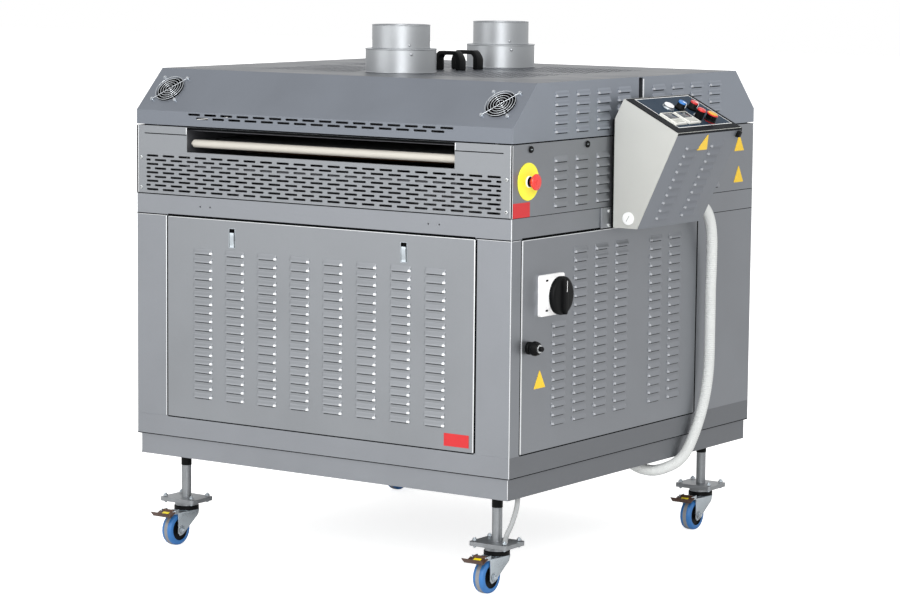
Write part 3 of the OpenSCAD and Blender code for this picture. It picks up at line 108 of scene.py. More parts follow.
def add_node(
    tree: bpy.types.NodeTree, kind: str, inputs: Optional[dict[Any, Any]] = None, **settings: Any
) -> bpy.types.Node:
    """Add one shader node with its settings, values and links.

    Args:
        tree: Node tree to add to.
        kind: Node type, without the "ShaderNode" that starts its name.
        inputs: Value or output socket for each named or numbered input.
        **settings: Properties of the node itself.

    Returns:
        The new node.
    """
    node = tree.nodes.new("ShaderNode" + kind)
    for key, value in settings.items():
        setattr(node, key, value)
    for key, value in (inputs or {}).items():
        if isinstance(value, bpy.types.NodeSocket):
            tree.links.new(value, node.inputs[key])
        else:
            node.inputs[key].default_value = value
    return node


# ---------------------------------------------------------------- finishes


@dataclass(frozen=True)
class Finish:
    """A finish with fine grain, soft mottling, slightly rounded edges and optional painted light and shade.
    """

    name: str
    colour: str
    roughness: float = 0.5
    metallic: float = 0.0
    grain_mm: float = 1.0
    grain_depth: float = 0.05
    mottle: float = 0.04
    mottle_mm: float = 120.0
    edge_mm: float = 0.8
    coat: float = 0.0
    ior: float = 1.5
    # Painted light and shade: factors that scale the colour of faces along X, Y and Z.
    painted_facing_light: tuple[float, float, float] = (1.0, 1.0, 1.0)

    def make(self) -> bpy.types.Material:
        """Build the material once and return it.

        Returns:
            The finish's material.
        """
        old = bpy.data.materials.get(self.name)
        if old is not None:
            return old
        material = bpy.data.materials.new(self.name)
        material.use_nodes = True
        material.node_tree.nodes.clear()
        self.wire(material.node_tree)
        material.diffuse_color = linear(self.colour)
        return material

    def wire(self, tree: bpy.types.NodeTree) -> None:
        """Lay out the node tree.

        Args:
            tree: Empty node tree of the material.
        """
        where = add_node(tree, "TexCoord").outputs["Object"]
        fine, wide = ({"Vector": where, "Scale": 1 / (size * MM)} for size in (self.grain_mm, self.mottle_mm))
        grain = add_node(tree, "TexNoise", {**fine, "Detail": 3.0, "Roughness": 0.6})
        cloud = add_node(tree, "TexNoise", {**wide, "Detail": 4.0, "Roughness": 0.55})
        base = linear(self.colour)[:3]
        dark, light = ((*(min(1.0, c * (1 + s * self.mottle)) for c in base), 1.0) for s in (-1, 1))
        both = add_node(tree, "Math", {0: grain.outputs[0], 1: cloud.outputs[0]}, operation="ADD")
        half = add_node(tree, "Math", {0: both.outputs[0], 1: 0.5}, operation="MULTIPLY")
        span = add_node(tree, "MapRange", {"Value": half.outputs[0], "From Min": 0.36, "From Max": 0.64})
        colour = add_node(tree, "Mix", {0: span.outputs[0], 6: dark, 7: light}, data_type="RGBA")
        low, high = max(0.02, self.roughness - 0.05), min(1.0, self.roughness + 0.05)
        limits = {"From Min": 0.3, "From Max": 0.7, "To Min": low, "To Max": high}
        sheen = add_node(tree, "MapRange", {"Value": cloud.outputs[0], **limits})
        bumps = {"Height": grain.outputs[0], "Strength": 0.6, "Distance": self.grain_depth * MM}
        normal = add_node(tree, "Bump", bumps)
        if self.edge_mm > 0:
            edge = add_node(tree, "Bevel", {"Radius": self.edge_mm * MM}, samples=4)
            tree.links.new(edge.outputs[0], normal.inputs["Normal"])
        sockets = {"Base Color": self.paint_facing_light(tree, colour.outputs[2]), "Metallic": self.metallic}
        sockets |= {"Roughness": sheen.outputs[0], "Normal": normal.outputs[0]}
        sockets |= {"Coat Weight": self.coat, "IOR": self.ior}
        shader = add_node(tree, "BsdfPrincipled", sockets)
        add_node(tree, "OutputMaterial", {"Surface": shader.outputs[0]})

    def paint_facing_light(self, tree: bpy.types.NodeTree, colour: bpy.types.NodeSocket) -> bpy.types.NodeSocket:
        """Paint light and shade into the colour: faces along X, Y and Z turn lighter or darker.

        Args:
            tree: Node tree of the finish.
            colour: Socket with the plain colour.

        Returns:
            The socket with the colour that carries the painted light and shade.
        """
        if self.painted_facing_light == (1.0, 1.0, 1.0):
            return colour
        facing = add_node(tree, "TexCoord").outputs["Normal"]
        parts = add_node(tree, "SeparateXYZ", {0: facing})
        total: Any = 1.0
        for part, share in zip(parts.outputs, self.painted_facing_light):
            size = add_node(tree, "Math", {0: part}, operation="ABSOLUTE").outputs[0]
            limits = {"From Min": 0.82, "From Max": 0.96, "To Min": 1.0, "To Max": share}
            level = add_node(tree, "MapRange", {"Value": size, **limits})
            total = add_node(tree, "Math", {0: total, 1: level.outputs[0]}, operation="MULTIPLY").outputs[0]
        return add_node(tree, "VectorMath", {0: colour, "Scale": total}, operation="SCALE").outputs[0]


# Satin stainless sheet, fine ground: grey with a soft grain; its folds get painted highlights.
SATIN = (0.42, 0.9, 0.9, 0.03, 0.05, 160, 1.2)
STAINLESS_PANEL = Finish("satin_stainless_panel", "#8b8e92", *SATIN)
STAINLESS_SIDE = Finish("satin_stainless_side", "#8b8e93", *SATIN)
# Painted light and shade: the hood's faces along X are lighter and its top darker, and the base's faces along
# X darker.
STAINLESS_HOOD = Finish("satin_stainless_hood", "#7a7f87", 0.40, *SATIN[1:], painted_facing_light=(1.46, 0.92, 0.43))
STAINLESS_BASE = Finish("satin_stainless_base", "#8b8e93", *SATIN, painted_facing_light=(0.68, 1.0, 1.0))
# Painted glint on one end of each louvre, where the light catches its rounded end.
LOUVRE_GLINT = Finish("painted_louvre_glint", "#e4e6e8", 0.3, 0.25, 0.8, 0.0, 0.01, 40, 0.0)
SIDE_LOUVRE_GLINT = Finish("side_louvre_glint", "#adb0b5", 0.3, 0.25, 0.8, 0.0, 0.01, 40, 0.0)
POD_LOUVRE_GLINT = Finish("pod_louvre_glint", "#a4a7ac", 0.4, 0.2, 0.8, 0.0, 0.01, 40, 0.0)
# Shade under a louvre's lip.
LOUVRE_SHADE = Finish("louvre_shade", "#2b2d30", 0.9, 0.0, 1.0, 0.0, 0.02, 40, 0.0, ior=1.15)
# Drawn and chromed wire of the fan guards: a thin bright line that takes the light all along.
GUARD_WIRE = Finish("bright_guard_wire", "#c2c6ca", 0.18, 0.95, 0.6, 0.0, 0.03, 12, 0.0)
# Pale sleeve on the feed rollers, smooth and slightly warm.
ROLLER_SLEEVE = Finish("pale_roller_sleeve", "#bebab1", 0.55, 0.0, 1.0, 0.02, 0.03, 60, 0.4)
# Rolled bright duct sheet: lighter, with a soft sheen round the tube.
DUCT_SHEET = Finish("rolled_duct_sheet", "#aaadb0", 0.44, 0.9, 0.8, 0.03, 0.04, 90, 0.8)
# Zinc plated steel: cool and light, slightly patchy.
ZINC = Finish("zinc_plated_steel", "#b4bcc2", 0.30, 0.9, 1.6, 0.05, 0.10, 22, 0.6)
# Dull zinc of the leg tubes and foot plates.
LEG_ZINC = Finish("dull_zinc_legs", "#8f9295", 0.42, 0.85, 1.6, 0.05, 0.12, 18, 0.6)
# Turned steel of screws and of the lock's barrel: bright, with fine lines.
TURNED_STEEL = Finish("ground_roller_tube", "#c9cccd", 0.25, 0.95, 0.5, 0.02, 0.05, 40, 0.4)
# Mild steel inside the machine, dull and heat stained; it also paints shade on the castors' washers.
INNER_STEEL = Finish("heat_stained_inner_steel", "#55565a", 0.55, 0.6, 1.5, 0.05, 0.15, 60, 0.5)
# Woven wire mesh: broken glints over a mid grey.
BELT_MESH = Finish("woven_steel_belt", "#6f7173", 0.45, 0.85, 2.5, 0.4, 0.25, 8, 0.0)
# Sheathed heater tube, oxidised brown by its own heat.
HEATER_TUBE = Finish("oxidised_heater_tube", "#6b5038", 0.5, 0.7, 1.0, 0.05, 0.15, 15, 0.0)
# Moulded ABS and nylon: even colour under a soft, slightly broken sheen.
# The black also paints shade: on the top of each leg tube and on each castor's head under its plate.
BLACK_ABS = Finish("moulded_black_abs", "#0b0c0d", 0.46, 0.0, 0.7, 0.04, 0.12, 30, 0.6, ior=1.2)
FAN_BLACK = Finish("moulded_fan_black", "#090a0b", 0.7, 0.0, 0.8, 0.04, 0.1, 20, 0.4, ior=1.15)
WHITE_NYLON = Finish("moulded_white_nylon", "#eceded", 0.42, 0.0, 1.0, 0.03, 0.02, 30, 0.5)
HOSE_WHITE = Finish("corrugated_white_hose", "#d2d4d3", 0.45, 0.0, 2.0, 0.02, 0.03, 40, 0.0)
LIGHT_FRAME = Finish("moulded_pale_grey", "#dcdcd6", 0.42, 0.0, 0.8, 0.03, 0.03, 20, 0.4)
GEAR_GREY = Finish("moulded_gear_grey", "#9ea09d", 0.5, 0.0, 1.0, 0.04, 0.05, 30, 0.5)
RED_ABS = Finish("moulded_red_abs", "#c8201f", 0.32, 0.0, 0.8, 0.02, 0.05, 20, 0.5, 0.2)
YELLOW_ABS = Finish("moulded_yellow_abs", "#e6cf10", 0.4, 0.0, 0.8, 0.02, 0.04, 25, 0.4)
BLUE_ABS = Finish("moulded_blue_abs", "#2f76c0", 0.35, 0.0, 0.8, 0.02, 0.05, 15, 0.4)
AMBER_ABS = Finish("moulded_amber_abs", "#d9a51c", 0.35, 0.0, 0.8, 0.02, 0.05, 15, 0.4)
# Powder coat: fine orange peel, hardly any mirror.
POD_PAINT = Finish("light_grey_powder_coat", "#b9bab6", 0.48, 0.1, 0.7, 0.05, 0.03, 140, 1.0)
# The outer face's copy of the powder coat, painted darker as the shade on the face that turns away from the
# light.
POD_FACE_SHADED = Finish("grey_powder_coat", "#797d84", 0.46, 0.5, 0.7, 0.05, 0.03, 140, 1.0)
# Printed panel film and its dark edge: flat and dull.
PANEL_BLUE = Finish("printed_panel_blue", "#263646", 0.55, 0.0, 0.8, 0.0, 0.05, 50, 0.0, ior=1.2)
PANEL_EDGE = Finish("panel_edge_black", "#0d1116", 0.6, 0.0, 0.8, 0.0, 0.05, 50, 0.4, ior=1.2)
# Brown lacquer on the pressed pedals, worn in patches.
PEDAL_BROWN = Finish("brown_lacquer", "#4d3426", 0.4, 0.2, 1.0, 0.04, 0.15, 12, 0.4)
# Cast elastic tyre, and its tread dulled by the floor.
TYRE_BLUE = Finish("cast_blue_tyre", "#2d6cab", 0.45, 0.0, 1.2, 0.08, 0.10, 14, 0.4)
TYRE_GREY = Finish("worn_grey_tread", "#868687", 0.7, 0.0, 1.0, 0.1, 0.12, 10, 0.3)
# Painted highlight on the folded edges of stainless sheet: a thin bright line where the light catches the
# fold.
FOLD_HIGHLIGHT = Finish("painted_fold_highlight", "#e2e4e6", 0.32, 0.6, 0.9, 0.01, 0.02, 200, 0.0)
# Painted shadow: flat black in the gaps between sheets, in slots, slits and recesses and behind perforations,
# where only shade falls.
SHADOW_GAP = Finish("painted_gap_shadow", "#08090a", 0.9, 0.0, 1.0, 0.02, 0.1, 20, 0.0, ior=1.12)
# Moulded switch plate, near white, and the signal colours of its neighbours.
WHITE_ABS = Finish("moulded_white_abs", "#f4f4f4", 0.35, 0.0, 0.8, 0.02, 0.01, 30, 0.5)
SIGNAL_YELLOW = Finish("moulded_signal_yellow", "#f5e93c", 0.42, 0.0, 0.8, 0.01, 0.02, 30, 0.4)
SIGNAL_RED = Finish("moulded_signal_red", "#dd3029", 0.30, 0.0, 0.8, 0.01, 0.03, 20, 0.5, 0.3)
# Printed film over thin aluminium: flat, even colour with a slight sheen.
RED_FILM = Finish("red_plate_film", "#c01a20", 0.35, 0.0, 0.8, 0.01, 0.04, 20, 0.3)
YELLOW_FILM = Finish("yellow_plate_film", "#edc31c", 0.35, 0.0, 0.8, 0.01, 0.04, 20, 0.3)
# Dark glass over a display: the smoothest surface of the panel.
DISPLAY_DARK = Finish("dark_display_glass", "#3d4348", 0.15, 0.0, 1.0, 0.0, 0.03, 30, 0.2)
# Rubber keys and PVC lead: dull, slightly uneven greys.
KEY_GREY = Finish("grey_rubber_key", "#b9bab4", 0.6, 0.0, 0.6, 0.03, 0.05, 12, 0.2)
LEAD_GREY = Finish("grey_pvc_lead", "#a2a4a5", 0.45, 0.0, 1.0, 0.03, 0.05, 20, 0.0)

NODE_FINISHES: dict[Finish, str] = {
    STAINLESS_BASE: "base_frame",
    STAINLESS_SIDE: "corner_posts upper_band left_panel side_door mid_side_panels",
    STAINLESS_PANEL: "front_panel rear_panel end_grilles",
    STAINLESS_HOOD: "front_hood rear_hood top_sheet_front top_sheet_rear",
    DUCT_SHEET: "exhaust_collar_front exhaust_collar_rear exhaust_spigot_front exhaust_spigot_rear",
    BLACK_ABS: "door_lock isolator_knob lid_handle_front lid_handle_rear pod_mount",
    LIGHT_FRAME: "isolator_plate temp_controllers",
    ZINC: "fasteners castor_fork_fr castor_fork_fl castor_fork_rr castor_fork_rl",
    GUARD_WIRE: "fan_guards",
    FAN_BLACK: "fan_housings fan_rotor_left fan_rotor_right",
    ROLLER_SLEEVE: "infeed_roller outfeed_roller",
    BELT_MESH: "conveyor_belt",
    HEATER_TUBE: "heaters",
    INNER_STEEL: "tunnel_shell",
    GEAR_GREY: "control_gear",
    POD_PAINT: "pod_shell",
    PANEL_EDGE: "panel_plate",
    WHITE_NYLON: "cable_glands white_button conduit",
    BLUE_ABS: "blue_selector",
    RED_ABS: "red_selector red_button stop_button",
    AMBER_ABS: "yellow_knob",
    YELLOW_ABS: "stop_disc",
    LEAD_GREY: "bonding_lead",
    LEG_ZINC: "legs",
    TYRE_BLUE: "castor_wheel_fr castor_wheel_fl castor_wheel_rr castor_wheel_rl",
    PEDAL_BROWN: "brake_pedal_fr brake_pedal_fl brake_pedal_rr brake_pedal_rl",
}


# ---------------------------------------------------------------- bench tools


def deselect() -> None:
    """Leave nothing selected, as each new piece starts."""
    bpy.ops.object.select_all(action="DESELECT")


def pull(along: Sequence[float]) -> None:
    """Extrude the picked part by a distance in millimetres."""
    bpy.ops.mesh.extrude_region_move(TRANSFORM_OT_translate={"value": tuple(Vector(along) * MM)})


def scale_picked(factors: Sequence[float], z: float = 0.0) -> None:
    """Scale the picked part about the local Z axis at a height in millimetres."""
    bpy.ops.transform.resize(value=factors, center_override=(0, 0, z * MM))


class Bench:
    """Hand tools: adds primitives, picks faces and shapes them in edit mode."""

    @staticmethod
    def hold(obj: bpy.types.Object) -> None:
        """Select one object alone and make it active.

        Args:
            obj: The object.
        """
        deselect()
        obj.select_set(True)
        bpy.context.view_layer.objects.active = obj

    @classmethod
    def settle(cls, obj: bpy.types.Object) -> None:
        """Put an object's place, turn and scale into its mesh."""
        cls.hold(obj)
        bpy.ops.object.transform_apply(location=True, rotation=True, scale=True)

    @staticmethod
    def named(name: str) -> bpy.types.Object:
        """Name the primitive that was just added.

        Args:
            name: Name for the object and its mesh.

        Returns:
            The primitive's object.
        """
        obj = bpy.context.view_layer.objects.active
        obj.name = name
        obj.data.name = name
        return obj

    @staticmethod
    def link(name: str, data: bpy.types.Mesh) -> bpy.types.Object:
        """Make an object of a mesh and link it to the scene.

        Args:
            name: Name of the object.
            data: Its mesh.

        Returns:
            The new object.
        """
        obj = bpy.data.objects.new(name, data)
        bpy.context.scene.collection.objects.link(obj)
        return obj

    @staticmethod
    def remove(*patterns: bpy.types.Object) -> None:
        """Take patterns away once their copies are in place."""
        for pattern in patterns:
            bpy.data.objects.remove(pattern)

    @classmethod
    @contextmanager
    def editing(cls, obj: bpy.types.Object) -> Iterator[None]:
        """Work on one object in edit mode, with all of it picked at first.

        Args:
            obj: The object.
        """
        cls.hold(obj)
        bpy.ops.object.mode_set(mode="EDIT")
        bpy.ops.mesh.select_all(action="SELECT")
        try:
            yield
        finally:
            bpy.ops.object.mode_set(mode="OBJECT")

    @staticmethod
    def pick(obj: bpy.types.Object, kind: str, test: Callable[[Any], bool]) -> None:
        """Select the parts of a mesh in edit mode that pass a test.

        Args:
            obj: Object in edit mode.
            kind: "FACE" or "EDGE".
            test: Test of a bmesh face or edge.
        """
        bpy.ops.mesh.select_all(action="DESELECT")
        bpy.ops.mesh.select_mode(type=kind)
        mesh = bmesh.from_edit_mesh(obj.data)
        for part in mesh.faces if kind == "FACE" else mesh.edges:
            part.select_set(bool(test(part)))
        mesh.select_flush_mode()
        bmesh.update_edit_mesh(obj.data)

    @classmethod
    def pick_faces(cls, obj: bpy.types.Object, wanted: Test) -> None:
        """Select faces in edit mode by their centre and normal."""
        cls.pick(obj, "FACE", lambda face: wanted(face.calc_center_median(), face.normal))

    @classmethod
    def pick_edges(cls, obj: bpy.types.Object, wanted: Test) -> None:
        """Select edges in edit mode by their two ends."""
        cls.pick(obj, "EDGE", lambda edge: wanted(edge.verts[0].co, edge.verts[1].co))

    @classmethod
    def block(
        cls,
        name: str,
        size: Sequence[float],
        centre: Sequence[float] = (0, 0, 0),
        finish: Optional[Finish] = None,
        edge: tuple[float, int] = (0.0, 2),
    ) -> bpy.types.Object:
        """Add a block, measured in millimetres.

        Args:
            name: Name of the new object.
            size: Its three sizes.
            centre: Its centre.
            finish: Finish to give it at once.
            edge: Width and segments of the rounding of its edges.

        Returns:
            The new object.
        """
        deselect()
        bpy.ops.mesh.primitive_cube_add(size=1, location=Vector(centre) * MM)
        obj = cls.named(name)
        obj.scale = Vector(size) * MM
        cls.settle(obj)
        if edge[0]:
            cls.round_edges(obj, *edge)
        if finish:
            cls.paint(obj, finish)
        return obj

    @classmethod
    def turned(
        cls, name: str, rings: Rings, sides: int = 48, finish: Optional[Finish] = None
    ) -> bpy.types.Object:
        """Draw a round piece up from a disc, ring by ring, and close both ends.

        Args:
            name: Name of the new object.
            rings: Radius and height of each ring in millimetres, from the start to the end.
            sides: Sides of the round.
            finish: Finish to give it at once.

        Returns:
            The new object, turned about +Z.
        """
        radius, height = rings[0]
        deselect()
        bpy.ops.mesh.primitive_circle_add(
            vertices=sides, radius=radius * MM, fill_type="NGON", location=(0, 0, height * MM)
        )
        obj = cls.named(name)
        with cls.editing(obj):
            for next_radius, next_height in rings[1:]:
                pull((0, 0, next_height - height))
                ratio = next_radius / radius
                scale_picked((ratio, ratio, 1), next_height)
                radius, height = next_radius, next_height
            bpy.ops.mesh.select_all(action="SELECT")
            bpy.ops.mesh.normals_make_consistent(inside=False)
        cls.settle(obj)
        if finish:
            cls.paint(obj, finish)
        return obj

    @classmethod
    def round_edges(cls, obj: bpy.types.Object, width: float, segments: int = 3, angle: float = 35.0) -> None:
        """Bevel the sharp edges of a piece by a width in millimetres.

        Args:
            obj: The piece.
            width: Width of each rounding.
            segments: Segments of each rounding.
            angle: Angle in degrees from which an edge counts as sharp.
        """
        bevel = obj.modifiers.new("edge_round", "BEVEL")
        bevel.width = width * MM
        bevel.segments = segments
        bevel.limit_method = "ANGLE"
        bevel.angle_limit = math.radians(angle)
        bevel.harden_normals = False
        cls.set_modifier(obj, bevel)

    @classmethod
    def set_modifier(cls, obj: bpy.types.Object, modifier: bpy.types.Modifier) -> None:
        """Apply one modifier to its object."""
        cls.hold(obj)
        bpy.ops.object.modifier_apply(modifier=modifier.name)

    @classmethod
    def thicken(cls, obj: bpy.types.Object, thickness: float, offset: float) -> None:
        """Give a sheet a thickness in millimetres.

        Args:
            obj: The sheet.
            thickness: Its thickness.
            offset: 1 to grow along the normals, or 0 to grow to both sides.
        """
        solid = obj.modifiers.new("sheet", "SOLIDIFY")
        solid.thickness = thickness * MM
        solid.offset = offset
        cls.set_modifier(obj, solid)

    @classmethod
    def move(cls, obj: bpy.types.Object, matrix: Matrix) -> bpy.types.Object:
        """Put a piece in its place, with the place in its mesh.

        Args:
            obj: The piece.
            matrix: Its place.

        Returns:
            The same piece.
        """
        obj.matrix_world = matrix @ obj.matrix_world
        cls.settle(obj)
        return obj

    @classmethod
    def join(cls, name: str, pieces: Sequence[bpy.types.Object]) -> bpy.types.Object:
        """Join pieces into one object.

        Args:
            name: Name of the joined piece.
            pieces: The pieces, of which the first one stays.

        Returns:
            The joined piece.
        """
        if len(pieces) > 1:
            deselect()
            for piece in pieces:
                piece.select_set(True)
            bpy.context.view_layer.objects.active = pieces[0]
            bpy.ops.object.join()
        pieces[0].name = pieces[0].data.name = name
        return pieces[0]

    @classmethod
    def copy(cls, obj: bpy.types.Object, name: str, matrix: Matrix) -> bpy.types.Object:
        """Copy a piece with a mesh of its own and put the copy in its place.

        Args:
            obj: The piece to copy.
            name: Name of the copy.
            matrix: Place of the copy.

        Returns:
            The copy.
        """
        other = cls.link(name, obj.data.copy())
        other.data.name = name
        return cls.move(other, matrix)

    @classmethod
    def smooth(cls, obj: bpy.types.Object, angle: float) -> None:
        """Shade smooth wherever faces meet at less than the angle."""
        cls.hold(obj)
        bpy.ops.object.shade_smooth_by_angle(angle=math.radians(angle))

    @staticmethod
    def paint(obj: bpy.types.Object, finish: Finish, wanted: Optional[Test] = None) -> None:
        """Give a finish to a piece, or only to the faces that pass a test.

        Args:
            obj: The piece.
            finish: The finish.
            wanted: Test of a face's centre and normal, or None for the whole piece.
        """
        material = finish.make()
        if wanted is None:
            obj.data.materials.clear()
            obj.data.materials.append(material)
            return
        names = [m.name for m in obj.data.materials]
        if material.name not in names:
            obj.data.materials.append(material)
            names.append(material.name)
        index = names.index(material.name)
        for face in obj.data.polygons:
            if wanted(face.center, face.normal):
                face.material_index = index


def frame_on(origin: Vector, out: Vector, up: Vector) -> Matrix:
    """Matrix that puts local +Z along a direction and local +Y near another.

    Args:
        origin: Where the local origin goes.
        out: Where local +Z points.
        up: Where local +Y points, roughly.

    Returns:
        The placing matrix.
    """
    z_axis = out.normalized()
    x_axis = up.cross(z_axis).normalized()
    y_axis = z_axis.cross(x_axis)
    turn = Matrix((x_axis, y_axis, z_axis)).transposed().to_4x4()
    return Matrix.Translation(origin) @ turn


def finish_piece(
    piece: bpy.types.Object,
    body: str,
    slot: str,
    *nodes: str,
    smooth: float = 0.0,
    where: Optional[Matrix] = None,
) -> None:
    """Smooth a piece, put it in its place and ride it on its body.

    Args:
        piece: The piece.
        body: Body that it rides on.
        slot: Material slot of the record; not used.
        *nodes: Nodes that it stands for.
        smooth: Angle in degrees up to which it is shaded smooth, or 0 to leave it.
        where: Matrix of its place, or None where it already stands.
    """
    if smooth:
        Bench.smooth(piece, smooth)
    if where is not None:
        Bench.move(piece, where)
    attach(piece, body)
    if nodes:
        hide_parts(*nodes)
    LOG.info("built %s", piece.name)


# ---------------------------------------------------------------- cords


def smooth_route(points: Sequence[Vector], step: float) -> list[Vector]:
    """Run one smooth curve through route points and space it evenly.

    Args:
        points: Route points in metres.
        step: Wanted distance between two points of the result.

    Returns:
        Evenly spaced points along the curve.
    """
    ends = [points[0] * 2 - points[1], *points, points[-1] * 2 - points[-2]]
    parts = 24
    fine: list[Vector] = []
    for a, b, c, d in zip(ends, ends[1:], ends[2:], ends[3:]):
        for t in (k / parts for k in range(parts)):
            bend = (2 * a - 5 * b + 4 * c - d) * t * t + (3 * b - a - 3 * c + d) * t**3
            fine.append(0.5 * (2 * b + (c - a) * t + bend))
    fine.append(points[-1].copy())
    lengths = [0.0]
    for a, b in zip(fine, fine[1:]):
        lengths.append(lengths[-1] + (b - a).length)
    count = max(8, round(lengths[-1] / step))
    out: list[Vector] = []
    j = 0
    for i in range(count + 1):
        s = lengths[-1] * i / count
        while j < len(lengths) - 2 and lengths[j + 1] < s:
            j += 1
        t = (s - lengths[j]) / max(1e-9, lengths[j + 1] - lengths[j])
        out.append(fine[j].lerp(fine[j + 1], t))
    return out


def swept_tube(
    name: str, route: Sequence[Vector], radius: Callable[[int], float], sides: int
) -> bpy.types.Object:
    """Sweep a round section with a varying radius along a route.

    Args:
        name: Name of the new object.
        route: Evenly spaced points in metres.
        radius: Radius in metres at each point's number.
        sides: Sides of the section.

    Returns:
        The closed tube.
    """
    mesh = bmesh.new()
    side = (route[1] - route[0]).normalized().orthogonal().normalized()
    turns = [2 * math.pi * k / sides for k in range(sides)]
    rings = []
    for i, point in enumerate(route):
        ahead = (route[min(i + 1, len(route) - 1)] - route[max(i - 1, 0)]).normalized()
        side = (side - ahead * side.dot(ahead)).normalized()
        other = ahead.cross(side)
        r = radius(i)
        rings.append([mesh.verts.new(point + r * (math.cos(a) * side + math.sin(a) * other)) for a in turns])
    for low, high in zip(rings, rings[1:]):
        for k in range(sides):
            mesh.faces.new((low[k], low[(k + 1) % sides], high[(k + 1) % sides], high[k]))
    mesh.faces.new(list(reversed(rings[0])))
    mesh.faces.new(rings[-1])
    bmesh.ops.recalc_face_normals(mesh, faces=mesh.faces)
    data = bpy.data.meshes.new(name)
    mesh.to_mesh(data)
    mesh.free()
    return Bench.link(name, data)


@dataclass
class Cord:
    """A cord held at both ends, along the route that its solid takes."""

    name: str
    node: str
    finish: Finish
    slot: str
    diameter_mm: float
    points_mm: Sequence[tuple[float, float, float]]
    rib_mm: float = 12.0
    rib_depth_mm: float = 0.0
    sides: int = 20

    def build(self) -> None:
        route = smooth_route([place(*p) for p in self.points_mm], self.rib_mm / 4 * MM)
        radius, depth = self.diameter_mm / 2 * MM, self.rib_depth_mm * MM

        def at(i: int) -> float:
            """Radius at one ring: ribs stand between narrow valleys."""
            return radius - (depth if i % 4 == 0 else depth * 0.25 if i % 2 else 0.0)

        tube = swept_tube(self.name, route, at, self.sides)
        Bench.paint(tube, self.finish)
        finish_piece(tube, "body", self.slot, self.node, smooth=60)


CORDS = (
    Cord(
        "corrugated_conduit", "conduit", HOSE_WHITE, "white", 28.0,
        [
            (596, 185, 868), (596, 203, 868), (596, 229, 863), (595, 254, 850), (592, 276, 829),
            (589, 293, 800), (586, 303, 768), (583, 309, 733), (581, 312, 695), (580, 312, 650),
            (580, 312, 595), (580, 312, 540), (580, 312, 488), (580, 309, 440), (579, 301, 394),
            (577, 288, 350), (574, 270, 308), (571, 247, 270), (567, 224, 240), (558, 197, 219),
            (543, 167, 207), (528, 138, 203), (514, 112, 208), (502, 89, 219),
            (490.9, 67.4, 238.1), (486.4, 58.6, 248.0),
        ],
        rib_mm=5.2, rib_depth_mm=1.6,
    ),
    Cord(
        "bonding_lead_sleeve", "bonding_lead", LEAD_GREY, "gear", 12.0,
        [
            (531, -488, 267), (531, -488, 249.6), (531, -488, 230.3), (530, -488, 212.9),
            (526, -488, 194.5), (520, -488, 176.2), (513, -488, 157.8), (505, -488, 142.6),
            (500, -488, 131.3), (498, -488, 122.2), (498, -488, 116),
        ],
    ),
)


# ---------------------------------------------------------------- body faces


class Face(Enum):
    """Upright faces of the body: outward direction and distance from the middle."""

    FRONT = ((0.0, -1.0), HALF_D)
    REAR = ((0.0, 1.0), HALF_D)
    RIGHT = ((1.0, 0.0), HALF_W)
    LEFT = ((-1.0, 0.0), HALF_W)

    def spot(self, along: float, height: float, lift: float = 0.0) -> Matrix:
        """Matrix of a place on the face: local +Z stands out, +Y points up.

        Args:
            along: Distance to the right of the face's middle, seen from outside.
            height: Height above the floor.
            lift: Distance in front of the face.

        Returns:
            The placing matrix.
        """
        (nx, ny), distance = self.value
        out = Vector((nx, ny, 0))
        middle = Vector((-ny, nx, 0)) * along + out * (distance + lift)
        return frame_on(place(middle.x, middle.y, height), out, Z)


ENDS, SIDES = (Face.FRONT, Face.REAR), (Face.RIGHT, Face.LEFT)
# Face, from and to along it, and from and to in height.
Bar = tuple[Face, float, float, float, float]


# ---------------------------------------------------------------- louvres


